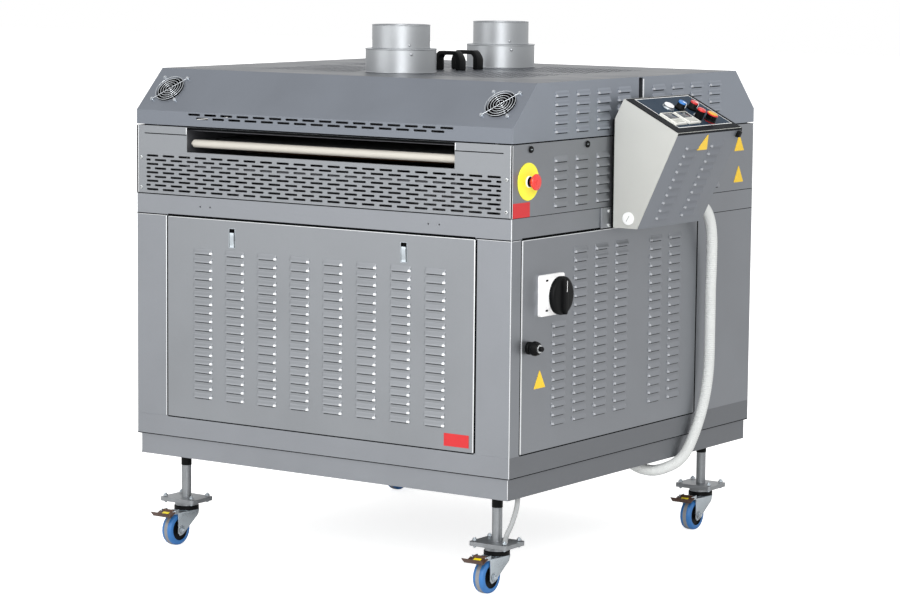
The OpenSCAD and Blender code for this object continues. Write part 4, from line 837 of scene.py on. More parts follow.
@dataclass
class LouvreField:
    """Pressed louvres of one sheet: a smooth hood over each slit, closed below, with painted shade under its
    lip.
    """

    name: str
    body: str
    finish: Finish
    slot: str
    columns: Sequence[tuple[float, float, int]]
    pitch: float = 20.9

    @staticmethod
    def pattern(bright_end: int, bright: Finish) -> bpy.types.Object:
        """Press one louvre: local +X along it, +Y up and +Z out.

        Args:
            bright_end: 1 or -1, the end that carries the painted glint.
            bright: Finish of the painted glint on that end.

        Returns:
            The louvre's object.
        """
        across = (-29.0, -28.5, -27.4, -25.6, -23.0, 0.0, 23.0, 25.6, 27.4, 28.5, 29.0)
        up = (-0.6, -0.6, 2.0, 4.6, 7.4, 10.2, 13.0)
        flat_half, end_run, height, lip, skirt = 23.0, 6.0, 4.8, 1.1, 0.4
        columns, rows = len(across) - 1, len(up) - 1
        deselect()
        bpy.ops.mesh.primitive_grid_add(x_subdivisions=columns, y_subdivisions=rows, size=1)
        hood = Bench.named("louvre_hood")
        with Bench.editing(hood):
            mesh = bmesh.from_edit_mesh(hood.data)
            for vert in mesh.verts:
                column, row = round((vert.co.x + 0.5) * columns), round((vert.co.y + 0.5) * rows)
                x, y = across[column], up[row]
                end = max(0.0, 1 - max(0.0, (abs(x) - flat_half) / end_run) ** 4) ** 0.25
                rise = height * end * (0.5 + 0.5 * math.cos(math.pi * max(0.0, y) / up[-1]))
                vert.co = Vector((x, y, max(0.0, rise - (0.0 if row else lip)))) * MM
            bmesh.update_edit_mesh(hood.data)
            bpy.ops.mesh.select_all(action="SELECT")
            bpy.ops.mesh.region_to_loop()
            bpy.ops.mesh.extrude_edges_move(TRANSFORM_OT_translate={"value": (0, 0, -skirt * MM)})
            scale_picked((1, 1, 0), -skirt)
            bpy.ops.mesh.edge_face_add()
            bpy.ops.mesh.select_all(action="SELECT")
            bpy.ops.mesh.remove_doubles(threshold=0.00002)
            bpy.ops.mesh.normals_make_consistent(inside=False)
        Bench.paint(hood, STAINLESS_SIDE)
        # Painted shade: a dark strip on the sheet and the lip's underside stand for the dark slit under the
        # lip.
        slit = Bench.block("louvre_slit_shade", (50, 2.6, 0.5), (0, -1.9, -0.1), LOUVRE_SHADE)
        Bench.paint(hood, LOUVRE_SHADE, lambda c, n: n.y < -0.9 and c.z < 2.9 * MM and abs(c.x) < 24.5 * MM)
        # Painted glint: one end of the louvre takes a bright finish, as the light catching it.
        Bench.paint(hood, bright, lambda c, n: bright_end * c.x > 24 * MM and c.y < 5 * MM)
        louvre = Bench.join("louvre", [hood, slit])
        Bench.smooth(louvre, 42)
        return louvre

    def build(self, pattern: bpy.types.Object, spot: Callable[[float, float], Matrix]) -> None:
        """Repeat the louvre up each column and join the columns of the sheet.

        Args:
            pattern: One louvre.
            spot: Gives the matrix of a place along and up the sheet.
        """
        columns = []
        for along, lowest, rows in self.columns:
            column = Bench.copy(pattern, "louvre_column", Matrix.Identity(4))
            repeat = column.modifiers.new("rows", "ARRAY")
            repeat.count = rows
            repeat.use_relative_offset = False
            repeat.use_constant_offset = True
            repeat.constant_offset_displace = (0, self.pitch * MM, 0)
            Bench.set_modifier(column, repeat)
            columns.append(Bench.move(column, spot(along, lowest)))
        sheet = Bench.join(self.name, columns)
        sheet.data.materials[0] = self.finish.make()
        finish_piece(sheet, self.body, self.slot)


def build_louvres() -> None:
    """Lay the louvres on every sheet that carries them."""
    on_ends = LouvreField.pattern(1, LOUVRE_GLINT)
    on_right = LouvreField.pattern(-1, SIDE_LOUVRE_GLINT)
    on_left = LouvreField.pattern(1, SIDE_LOUVRE_GLINT)
    on_pod = LouvreField.pattern(-1, POD_LOUVRE_GLINT)
    patterns = {Face.FRONT: on_ends, Face.REAR: on_ends, Face.RIGHT: on_right, Face.LEFT: on_left}
    first, side_first, hood_first = CABINET_Z + 56.0, MIDDLE_Z + 16.6, HOOD_Z + 17.0
    end_pitch, side_start, side_pitch, door_end = 98.6, 80.5, 92.5, 190
    ends = [((i - 3.5) * end_pitch, first, 18) for i in range(8)]
    sides = [s * (side_start + side_pitch * i) for s in (-1, 1) for i in range(4)]
    # The column under the isolator is shorter than the rest of the door's.
    door = [(a, first, 12 if a == min(sides) else 20) for a in sides if a < door_end]
    middle = [(a, side_first, 6) for a in sides]
    sheets = [
        ("front_panel_louvres", "front_panel", STAINLESS_PANEL, ends, Face.FRONT),
        ("rear_panel_louvres", "body", STAINLESS_PANEL, ends, Face.REAR),
        ("left_panel_louvres", "body", STAINLESS_SIDE, [(a, first, 20) for a in sides], Face.LEFT),
        ("side_door_louvres", "side_door", STAINLESS_SIDE, door, Face.RIGHT),
        ("middle_louvres_right", "body", STAINLESS_SIDE, middle, Face.RIGHT),
        ("middle_louvres_left", "body", STAINLESS_SIDE, middle, Face.LEFT),
    ]
    for hood, sign in (("front_hood", -1), ("rear_hood", 1)):
        for face, name, way in ((Face.RIGHT, "right", sign), (Face.LEFT, "left", -sign)):
            columns = [(way * a, hood_first, 5) for a in sides if a > 0]
            sheets.append((f"{hood}_louvres_{name}", hood, STAINLESS_HOOD, columns, face))
    for name, body, finish, columns, face in sheets:
        slot = "steel_front" if face in ENDS else "steel_side"
        LouvreField(name, body, finish, slot, columns).build(patterns[face], face.spot)
    on_cover = [(-46.7, 24.0, 10), (72.4, 24.0, 10)]
    LouvreField("pod_cover_louvres", "body", POD_FACE_SHADED, "pod_sheet", on_cover).build(on_pod, Pod().face_spot)
    Bench.remove(on_ends, on_right, on_left, on_pod)


# ---------------------------------------------------------------- seams and folds


@dataclass
class Seams:
    """Painted shadow in the gaps between sheets and painted highlights on the folds beside them."""

    shade_lift: float = 0.2
    fold_lift: float = 0.5
    # Half widths of the openings for the end panels and the side sheets, and the door's hinge edge.
    end_half: float = 456.0
    side_half: float = 520.0
    door_edge: float = 281.0

    def bars(self, name: str, body: str, finish: Finish, lift: float, bars: Sequence[Bar]) -> None:
        """Lay one set of flat bars on the body's faces and join them.

        Args:
            name: Name of the joined piece.
            body: Body that it rides on.
            finish: Its finish.
            lift: How far the bars stand in front of the face.
            bars: The bars of the set.
        """
        pieces = []
        for face, a0, a1, z0, z1 in bars:
            bar = Bench.block("bar", (a1 - a0, z1 - z0, 2.0), (0, 0, lift - 1.0))
            Bench.round_edges(bar, min(0.45 * min(a1 - a0, z1 - z0), 0.9), 2)
            pieces.append(Bench.move(bar, face.spot((a0 + a1) / 2, (z0 + z1) / 2)))
        joined = Bench.join(name, pieces)
        Bench.paint(joined, finish)
        finish_piece(joined, body, "black" if finish is SHADOW_GAP else "steel_side", smooth=40)

    @staticmethod
    def pair(face: Face, middle: float, half: float, z0: float, z1: float) -> list[Bar]:
        """Two upright bars, one on each side of a face's middle."""
        return [(face, s * middle - half, s * middle + half, z0, z1) for s in (-1, 1)]

    @staticmethod
    def lying(face: Face, near: float, far: float, z0: float, z1: float) -> list[Bar]:
        """Two lying bars, one on each side of a face's middle."""
        return [(face, *sorted((s * near, s * far)), z0, z1) for s in (-1, 1)]

    def build(self) -> None:
        """Lay every painted gap shadow and fold highlight."""
        low, high = CABINET_Z, BAND_Z
        shades: list[Bar] = []
        folds: list[Bar] = []
        proud: list[Bar] = []
        openings = {face: (self.end_half, self.end_half) for face in ENDS}
        openings[Face.LEFT] = (self.side_half, self.side_half)
        openings[Face.RIGHT] = (self.side_half, self.door_edge)
        for face, (left, right) in openings.items():
            shades += [
                (face, -left - 3.8, -left + 0.4, low + 2, high - 2),
                (face, right - 0.4, right + 5.8, low + 2, high - 2),
                (face, -left, right, high - 2.4, high + 4.0), (face, -left, right, low - 1.2, low + 2.4),
            ]
        for face in (*ENDS, *SIDES):
            half = (HALF_W if face in ENDS else HALF_D) - 1
            for z0, z1 in ((high - 0.6, high + 1.7), (MIDDLE_Z - 0.7, MIDDLE_Z + 1.6), (281.2, 284.0)):
                shades.append((face, -half, half, z0, z1))
        for face in ENDS:
            shades += self.pair(face, 552.9, 2.0, MIDDLE_Z + 1, MIDDLE_TOP - 1)
            folds += self.pair(face, 549.9, 0.9, MIDDLE_Z + 1, MIDDLE_TOP - 1)
            folds += self.pair(face, 554.1, 1.0, 284, MIDDLE_Z - 0.8)
            folds += [(face, -462.4, -459.6, low + 2, high - 1), (face, 462.4, 552, high - 2.0, high - 0.9)]
            folds += [(face, -552, -462.6, high - 2.0, high - 0.9)]
            folds += self.pair(face, 397.6, 1.4, MIDDLE_TOP - 18, MIDDLE_TOP - 1)
            proud += [(face, -396, 396, MIDDLE_TOP - 5.6, MIDDLE_TOP - 0.2)]
            proud += [(face, -551, 551, MIDDLE_Z - 0.9, MIDDLE_Z + 1.5)]
            proud += self.lying(face, 459, 554, high - 0.6, high + 1.9)
            proud += self.lying(face, 397, 530, MIDDLE_TOP - 20.4, MIDDLE_TOP - 18.2)
        for face in SIDES:
            folds += self.pair(face, 562.1, 0.9, MIDDLE_Z + 1, MIDDLE_TOP - 1)
            folds += [(face, -560, -526, high - 2.0, high - 0.9)]

        def rest(faces: Sequence[Face]) -> list[Bar]:
            """Bars of painted shadow in the gap under the hoods."""
            return [(face, -540, 540, MIDDLE_TOP - 0.6, HOOD_Z - 0.7) for face in faces]

        # Painted shadow: black bars in the gaps where the sheets stand proud and under the hoods.
        self.bars("proud_sheet_shades", "body", SHADOW_GAP, 1.15, proud)
        self.bars("hood_rest_shade", "body", SHADOW_GAP, -5.0, rest(SIDES))
        # Behind the reach of the lips, which dip a little as the hoods tilt.
        self.bars("hood_end_shade", "body", SHADOW_GAP, -16.0, rest(ENDS))
        # Painted highlights: bright strips on the folded edges, where the light catches them.
        edge_fold = [(Face.RIGHT, 5.6, 11.4, HOOD_Z + 4, TOP_Z - 5)]
        self.bars("rear_hood_edge_fold", "rear_hood", FOLD_HIGHLIGHT, self.fold_lift, edge_fold)
        plinth = [bar for face in ENDS for bar in self.pair(face, 547.0, 0.9, 234, 280)]
        self.bars("plinth_folds", "body", FOLD_HIGHLIGHT, -6.5, plinth)
        # Painted shadow in the gaps round the panels and between the bands.
        self.bars("sheet_gap_shades", "body", SHADOW_GAP, self.shade_lift, shades)
        # Painted highlights along the folds.
        self.bars("bright_sheet_folds", "body", FOLD_HIGHLIGHT, self.fold_lift, folds)
        owners = {
            Face.FRONT: ("front_panel", ""), Face.RIGHT: ("side_door", ""),
            Face.REAR: ("body", "rear_"), Face.LEFT: ("body", "left_"),
        }
        # Painted highlights along the lit edge of each panel and door.
        for face, (body, side) in owners.items():
            left, right = openings[face]
            lit = (right - 3.4, right - 0.1) if face in ENDS else (0.1 - left, 5.6 - left)
            edges = [(face, *lit, low + 3, high - 2.4), (face, 3 - left, right - 3, high - 3.8, high - 2.2)]
            self.bars(f"{body}_{side}edge_fold", body, FOLD_HIGHLIGHT, self.fold_lift, edges)


# ---------------------------------------------------------------- switches on the side


@dataclass
class SideControls:
    """Isolator switch, door lock and emergency stop on the right side."""

    isolator: tuple[float, float] = (-400.0, 696.0)
    lock: tuple[float, float] = (-488.0, 580.0)
    stop: tuple[float, float] = (-498.0, 964.0)

    def build_isolator(self) -> None:
        """Mould the white plate with its ring and slots, and the black knob."""
        where = Face.RIGHT.spot(*self.isolator)
        plate = Bench.block("isolator_white_plate", (100, 96, 10), (0, 0, 5))
        with Bench.editing(plate):
            Bench.pick_edges(plate, lambda a, b: abs(a.z - b.z) > 5 * MM)
            bpy.ops.mesh.bevel(offset=5 * MM, segments=4, affect="EDGES")
            Bench.pick_edges(plate, lambda a, b: a.z > 9.9 * MM and b.z > 9.9 * MM)
            bpy.ops.mesh.bevel(offset=2.2 * MM, segments=3, affect="EDGES")
        Bench.paint(plate, WHITE_ABS)
        rings = [(38.0, 9.5), (38.0, 24.6), (37.0, 26.0), (24.0, 26.0)]
        parts = [plate, Bench.turned("ring", rings, 96, WHITE_ABS)]
        # Painted shade: the two screw slots are drawn in flat black.
        for s in (-1, 1):
            centre = (-27, s * 35, 9.9)
            parts.append(Bench.block("screw_slot", (10.5, 4.4, 0.6), centre, SHADOW_GAP, (0.25, 2)))
        body = Bench.join("isolator_white_plate", parts)
        finish_piece(body, "side_door", "white", "isolator_plate", smooth=40, where=where)
        rings = [
            (40.0, 25.5), (44.6, 26.6), (45.4, 34.0), (44.4, 37.6), (41.4, 40.0), (36.0, 41.0),
            (8.0, 41.2),
        ]
        disc = Bench.turned("disc", rings, 96, BLACK_ABS)
        shaft = Bench.turned("shaft", [(4.0, -14.0), (4.0, 27.0)], 24, BLACK_ABS)
        grip = Bench.block("grip", (19, 70, 9), (0, 5, 44.0))
        with Bench.editing(grip):
            Bench.pick_faces(grip, lambda c, n: n.y < -0.9)
            pull((0, -14, 0))
            scale_picked((0.36, 1, 1), 44)
            Bench.pick_faces(grip, lambda c, n: n.z > 0.9)
            scale_picked((0.78, 0.98, 1), 48)
        Bench.round_edges(grip, 1.6, 3)
        Bench.paint(grip, BLACK_ABS)
        mark = Bench.block("grip_line", (1.6, 26, 0.5), (0, 22, 48.5), WHITE_ABS, (0.2, 2))
        knob = Bench.join("isolator_black_knob", [disc, shaft, grip, mark])
        finish_piece(knob, "isolator_knob", "black", "isolator_knob", smooth=38, where=where)

    def build_lock(self) -> None:
        """Turn the faceted lock with its bright key face and black nub."""
        flange = [(14.0, 0.5), (15.0, 1.2), (15.0, 6.2), (14.0, 7.4), (8.0, 7.6)]
        grip = [(13.2, 6.6), (17.2, 15.6), (17.4, 19.8), (14.2, 28.6), (13.2, 29.4), (6.0, 29.5)]
        barrel = [(9.8, 28.6), (10.0, 32.0), (9.4, 32.5), (7.4, 32.5), (7.2, 31.8), (3.0, 31.8)]
        parts = [
            Bench.turned("flange", flange, 48, BLACK_ABS),
            Bench.turned("grip", grip, 12, BLACK_ABS),
            Bench.turned("barrel", barrel, 40, TURNED_STEEL),
            Bench.turned("nub", [(5.8, 31.6), (6.0, 38.4), (5.0, 40.2), (2.0, 40.5)], 32, BLACK_ABS),
            Bench.turned("tail", [(5.0, -24.0), (5.0, 2.0)], 24, ZINC),
            Bench.block("cam", (10, 44, 3), (0, 16, -22.5), ZINC, (0.8, 2)),
        ]
        lock = Bench.join("door_lock_knob", parts)
        finish_piece(lock, "door_lock", "black", "door_lock", smooth=30, where=Face.RIGHT.spot(*self.lock))

    def build_stop(self) -> None:
        """Mould the yellow disc with its neck ring, and the red mushroom cap."""
        where = Face.RIGHT.spot(*self.stop)
        parts = [
            Bench.turned("disc", [(43.4, 0.0), (43.4, 1.6), (42.6, 2.5), (14.0, 2.5)], 96, SIGNAL_YELLOW),
            Bench.turned("ring", [(13.4, 2.3), (13.4, 4.6), (12.6, 5.6), (11.6, 5.8)], 48, WHITE_ABS),
            Bench.turned("neck", [(11.8, 5.4), (11.8, 6.4), (10.4, 6.6)], 48, BLACK_ABS),
        ]
        plate = Bench.join("stop_yellow_disc", parts)
        finish_piece(plate, "body", "yellow", "stop_disc", smooth=40, where=where)
        rings = [
            (9.0, -4.6), (9.0, 12.0), (11.4, 12.2), (12.6, 13.6), (16.2, 18.2), (18.6, 20.6),
            (19.2, 22.2), (18.9, 23.8), (17.6, 25.4), (14.6, 26.4), (10.0, 26.9), (2.0, 27.0),
        ]
        cap = Bench.turned("stop_red_cap", rings, 72, SIGNAL_RED)
        Bench.paint(cap, BLACK_ABS, lambda c, n: c.z < 12.15 * MM)
        finish_piece(cap, "stop_button", "red", "stop_button", smooth=50, where=where)

    def build(self) -> None:
        """Build the three switches."""
        self.build_isolator()
        self.build_lock()
        self.build_stop()


# ---------------------------------------------------------------- plates and latches


@dataclass
class SmallTrim:
    """Bare plates, finger latches, screws and other small fittings."""

    latch_x: float = 255.0
    latch_z: float = 787.0
    # Foot bolts from the middle of a foot plate, and the plate's upper face.
    bolt_x: float = 41.5
    bolt_y: float = 31.5
    plate_top: float = 118.0

    def build_bare_plates(self) -> None:
        """Stick the two red plates and the four yellow triangles on, all bare."""
        plates = (
            ("red_plate_front", "front_panel", Face.FRONT.spot(408, 359), (70, 30)),
            ("red_plate_side", "body", Face.RIGHT.spot(-525, 900), (70, 34)),
        )
        for name, body, where, size in plates:
            plate = Bench.block(name, (*size, 0.8), (0, 0, 0.4), RED_FILM, (0.35, 2))
            finish_piece(plate, body, "red", where=where)
        triangles = (
            ("yellow_plate_door", "side_door", Face.RIGHT.spot(-439, 495)),
            ("yellow_plate_upper", "body", Face.RIGHT.spot(489, 997)),
            ("yellow_plate_lower", "body", Face.RIGHT.spot(488, 917)),
            ("yellow_plate_pod", "body", Pod().face_spot(7, 219, 1.2)),
        )
        for name, body, where in triangles:
            plate = Bench.turned(name, [(28.5, 0.0), (28.5, 0.5), (27.9, 0.8)], 3)
            with Bench.editing(plate):
                Bench.pick_edges(plate, lambda a, b: abs(a.z - b.z) > 0.2 * MM)
                bpy.ops.mesh.bevel(offset=2.0 * MM, segments=3, affect="EDGES")
            Bench.paint(plate, YELLOW_FILM)
            finish_piece(plate, body, "yellow", where=where)

    def build_latches(self) -> None:
        """Make one finger latch and copy it: bright rim, gap painted black as shade, and silver tongue."""
        rim = Bench.block("rim", (19.4, 48.4, 1.2), (0, 0, 0.1))
        with Bench.editing(rim):
            Bench.pick_faces(rim, lambda c, n: abs(n.z) > 0.9)
            bpy.ops.mesh.inset(thickness=1.2 * MM)
            bpy.ops.mesh.bridge_edge_loops()
        Bench.round_edges(rim, 0.35, 2)
        # Painted shade: a black sheet in the gap round the tongue.
        gap = Bench.block("gap", (17.2, 46.2, 0.8), (0, 0, -1.2), SHADOW_GAP)
        tongue = Bench.block("tongue", (12.6, 36.0, 2.4), (-0.6, -4.6, -0.7))
        with Bench.editing(tongue):
            bpy.ops.mesh.subdivide(number_cuts=4)
            Bench.pick_faces(tongue, lambda c, n: n.z > 0.9 and c.y > -4 * MM)
            bpy.ops.transform.translate(value=(0, 0, 0.9 * MM))
            Bench.pick_faces(tongue, lambda c, n: n.z > 0.6 and c.y < -12 * MM)
            bpy.ops.transform.translate(value=(0, 0, -0.5 * MM))
        Bench.round_edges(tongue, 0.5, 2, 50)
        for part in (rim, tongue):
            Bench.paint(part, ZINC)
        latch = Bench.join("finger_latch", [rim, gap, tongue])
        Bench.smooth(latch, 40)
        for side, name in ((-1, "left"), (1, "right")):
            where = Face.FRONT.spot(side * self.latch_x, self.latch_z)
            finish_piece(Bench.copy(latch, f"finger_latch_{name}", where), "front_panel", "steel_front")
        Bench.remove(latch)

    def build_fasteners(self) -> None:
        """Copy quarter-turn studs, pan-head screws and foot bolts to their places."""
        rings = [(8.0, 0.0), (8.0, 2.6), (7.0, 3.8), (5.6, 4.0), (5.0, 3.0), (1.0, 2.9)]
        cut = Bench.block("slot", (8.4, 1.8, 0.6), (0, 0, 3.0), ZINC, (0.2, 2))
        stud = Bench.join("quarter_turn", [Bench.turned("stud", rings, 40, BLACK_ABS), cut])
        rings = [(4.6, 0.0), (4.6, 0.8), (4.1, 2.0), (2.8, 2.8), (0.8, 3.0)]
        parts = [Bench.turned("screw", rings, 32, TURNED_STEEL)]
        # Painted shade: the screw heads' recesses are drawn in flat black.
        for angle in (25, 115):
            mark = Bench.block("recess", (4.6, 1.2, 0.8), (0, 0, 2.8), SHADOW_GAP)
            parts.append(Bench.move(mark, turned_by(angle, "Z")))
        screw = Bench.join("pan_screw", parts)
        rings = [(6.0, 0.0), (6.0, 3.4), (5.2, 4.0), (3.2, 4.0), (3.2, 6.6), (2.6, 7.2)]
        bolt = Bench.turned("bolt", rings, 6, ZINC)
        for pattern in (stud, screw, bolt):
            Bench.smooth(pattern, 35)
        copies = []
        for y in (-488, -244, 244, 488):
            copies += [Bench.copy(stud, "stud", face.spot(y, MIDDLE_TOP - 13)) for face in SIDES]
        for x in (-540, 540):
            for z in (897, 971):
                copies += [Bench.copy(screw, "screw", face.spot(x, z)) for face in ENDS]
        for sx, sy in CORNERS.values():
            for dx, dy in CORNERS.values():
                x, y = LEG_X * sx + dx * self.bolt_x, LEG_Y * sy + dy * self.bolt_y
                copies.append(Bench.copy(bolt, "bolt", at_place(x, y, self.plate_top)))
                under = at_place(x, y, self.plate_top - 10) @ turned_by(180, "X")
                copies.append(Bench.copy(bolt, "nut", under))
        Bench.remove(stud, screw, bolt)
        finish_piece(Bench.join("screws_and_studs", copies), "body", "zinc", "fasteners")

    def build_leg_top_shades(self) -> None:
        """Put a black sleeve on the top of each leg tube, as painted shade under the base."""
        rings = [(11.5, 196.5), (12.8, 197.0), (13.0, 198.0), (13.0, 230.6), (11.5, 230.8)]
        top_shades = []
        for sx, sy in CORNERS.values():
            collar = Bench.turned("collar", rings, 48, BLACK_ABS)
            top_shades.append(Bench.move(collar, at_place(LEG_X * sx, LEG_Y * sy, 0)))
        finish_piece(Bench.join("leg_top_shades", top_shades), "body", "black", smooth=38)

    def build(self) -> None:
        """Build all small fittings."""
        self.build_leg_top_shades()
        self.build_bare_plates()
        self.build_latches()
        self.build_fasteners()


# ---------------------------------------------------------------- control pod


@dataclass
class Pod:
    """The control pod's cover, bracket, plug and glands."""

    back_x: float = 566.0
    low_z: float = 833.0
    foot: tuple[float, float] = (66.0, 0.0)
    edge: tuple[float, float] = (174.0, 231.0)
    # Where the conduit leaves the base, and which way its elbow turns from +X.
    elbow_at: tuple[float, float, float] = (480.0, 46.0, 281.0)
    elbow_turn: float = math.radians(63)

    def face_spot(self, along: float, up: float, lift: float = 1.0) -> Matrix:
        """Matrix of a place on the slanting outer face: local +Y points up the face.

        Args:
            along: Distance along the body.
            up: Distance up the face.
            lift: Distance in front of the face.

        Returns:
            The placing matrix.
        """
        start = Vector((self.back_x + self.foot[0], 0, self.low_z + self.foot[1]))
        rise = Vector((self.edge[0] - self.foot[0], 0, self.edge[1] - self.foot[1])).normalized()
        out = Vector((rise.z, 0, -rise.x))
        spot = start + rise * up + out * lift
        return frame_on(place(spot.x, along, spot.z), out, rise)

    def build_cover(self) -> None:
        """Fold the stainless cover sheet on the slanting face, painted darker as shade, with its far latch.
        """
        cover = Bench.block("pod_cover_sheet", (304, 253.5, 1.0), (13.5, 126.0, -0.5))
        with Bench.editing(cover):
            Bench.pick_edges(cover, lambda a, b: abs(a.z - b.z) > 0.5 * MM)
            bpy.ops.mesh.bevel(offset=4 * MM, segments=4, affect="EDGES")
        Bench.round_edges(cover, 0.45, 2)
        Bench.paint(cover, POD_FACE_SHADED)
        finish_piece(cover, "body", "pod_sheet", smooth=40, where=self.face_spot(0, 0))
        gasket = Bench.block("panel_gasket", (306, 5.4, 2.0), finish=PANEL_EDGE, edge=(0.6, 2))
        finish_piece(gasket, "body", "black", where=self.face_spot(13.5, 253.0, 0.4))
        strap = Bench.block("pod_cover_latch", (17, 17, 8), (0, 0, 4))
        with Bench.editing(strap):
            Bench.pick_faces(strap, lambda c, n: n.z > 0.9)
            scale_picked((0.8, 0.86, 1), 8)
        Bench.round_edges(strap, 2.0, 3)
        Bench.paint(strap, BLACK_ABS)
        finish_piece(strap, "body", "black", smooth=40, where=self.face_spot(155, 241))

    def build_bracket(self) -> None:
        """Bolt the steel bracket on beside the pod."""
        bracket = Bench.block("bracket", (45.6, 49, 3.8), (0, 0, 1.9), STAINLESS_PANEL, (0.8, 2))
        parts = [Bench.move(bracket, Face.RIGHT.spot(-159.6, 857.6))]
        rings = [(4.8, 3.4), (4.8, 4.4), (4.2, 5.8), (2.6, 6.6), (0.8, 6.8)]
        for z in (839, 873):
            screw = Bench.turned("screw", rings, 32, TURNED_STEEL)
            parts.append(Bench.move(screw, Face.RIGHT.spot(-150, z)))
        finish_piece(Bench.join("pod_bracket", parts), "body", "steel_side", smooth=40)

    def build_glands(self) -> None:
        """Turn the blanking plug, the conduit's gland nuts and the elbow under the base."""
        rings = [(9.5, -6), (9.5, 0), (15.5, 0.2), (15.5, 2.4), (14.4, 3.5), (4.0, 3.6)]
        cut = Bench.block("plug_slot", (16, 1.6, 0.5), (0, 0, 3.5), GEAR_GREY)
        Bench.move(cut, turned_by(60, "Z"))
        parts = [Bench.join("plug", [Bench.turned("plug", rings, 48, WHITE_NYLON), cut])]
        Bench.move(parts[0], frame_on(place(608, -140, 857), -Y, Z))
        upper = frame_on(place(596, 167, 868), Y, Z)
        under = frame_on(place(*self.elbow_at), -Z, self.elbow_away())
        nut = [(17.0, 0.0), (18.0, 0.8), (18.0, 7.2), (17.0, 8.0), (15.0, 8.2)]
        collar = [(15.2, 8.0), (16.5, 8.8), (16.5, 15.6), (15.4, 17.6), (13.0, 18.0)]
        lead = [(9.0, 0.0), (9.0, 5.0), (8.0, 6.0), (8.6, 7.0), (8.6, 11.0), (7.4, 13.4), (6.4, 14.0)]
        lead_spot = frame_on(place(531, -488, 281), -Z, Y)
        for name, rings, sides, where in (
            ("nut", nut, 6, upper), ("collar", collar, 48, upper),
            ("nut", nut, 6, under), ("lead_gland", lead, 36, lead_spot),
        ):
            part = Bench.turned(name, rings, sides, WHITE_NYLON)
            if rings is nut:
                Bench.round_edges(part, 0.8, 2)
            parts.append(Bench.move(part, where))
        parts += self.elbow()
        finish_piece(Bench.join("white_cable_glands", parts), "body", "white", "cable_glands", smooth=38)

    def elbow_away(self) -> Vector:
        """Level direction in which the elbow turns."""
        return Vector((math.cos(self.elbow_turn), math.sin(self.elbow_turn), 0))

    def elbow(self) -> list[bpy.types.Object]:
        """Sweep the elbow under the base and turn its end collar.

        Returns:
            The pipe and its collar.
        """
        drop, radius, half_turn, steps = 9, 24, math.radians(45), 8
        away = self.elbow_away()
        start = Vector(self.elbow_at)
        path = [start]
        for step in range(steps + 1):
            angle = half_turn * step / steps
            bend = away * (radius * (1 - math.cos(angle))) - Z * (radius * math.sin(angle))
            path.append(start - Z * drop + bend)
        out = away * math.sin(half_turn) - Z * math.cos(half_turn)
        pipe = swept_tube("elbow", [place(*p) for p in path], lambda i: 14 * MM, 36)
        Bench.paint(pipe, WHITE_NYLON)
        rings = [(15.4, 0.0), (16.5, 0.8), (16.5, 8.6), (15.2, 10.0), (13.5, 10.0)]
        collar = Bench.turned("collar", rings, 48, WHITE_NYLON)
        return [pipe, Bench.move(collar, frame_on(place(*path[-1]), out, away))]

    def build(self) -> None:
        """Build the pod's fittings."""
        self.build_cover()
        self.build_bracket()
        self.build_glands()


# ---------------------------------------------------------------- lid fittings


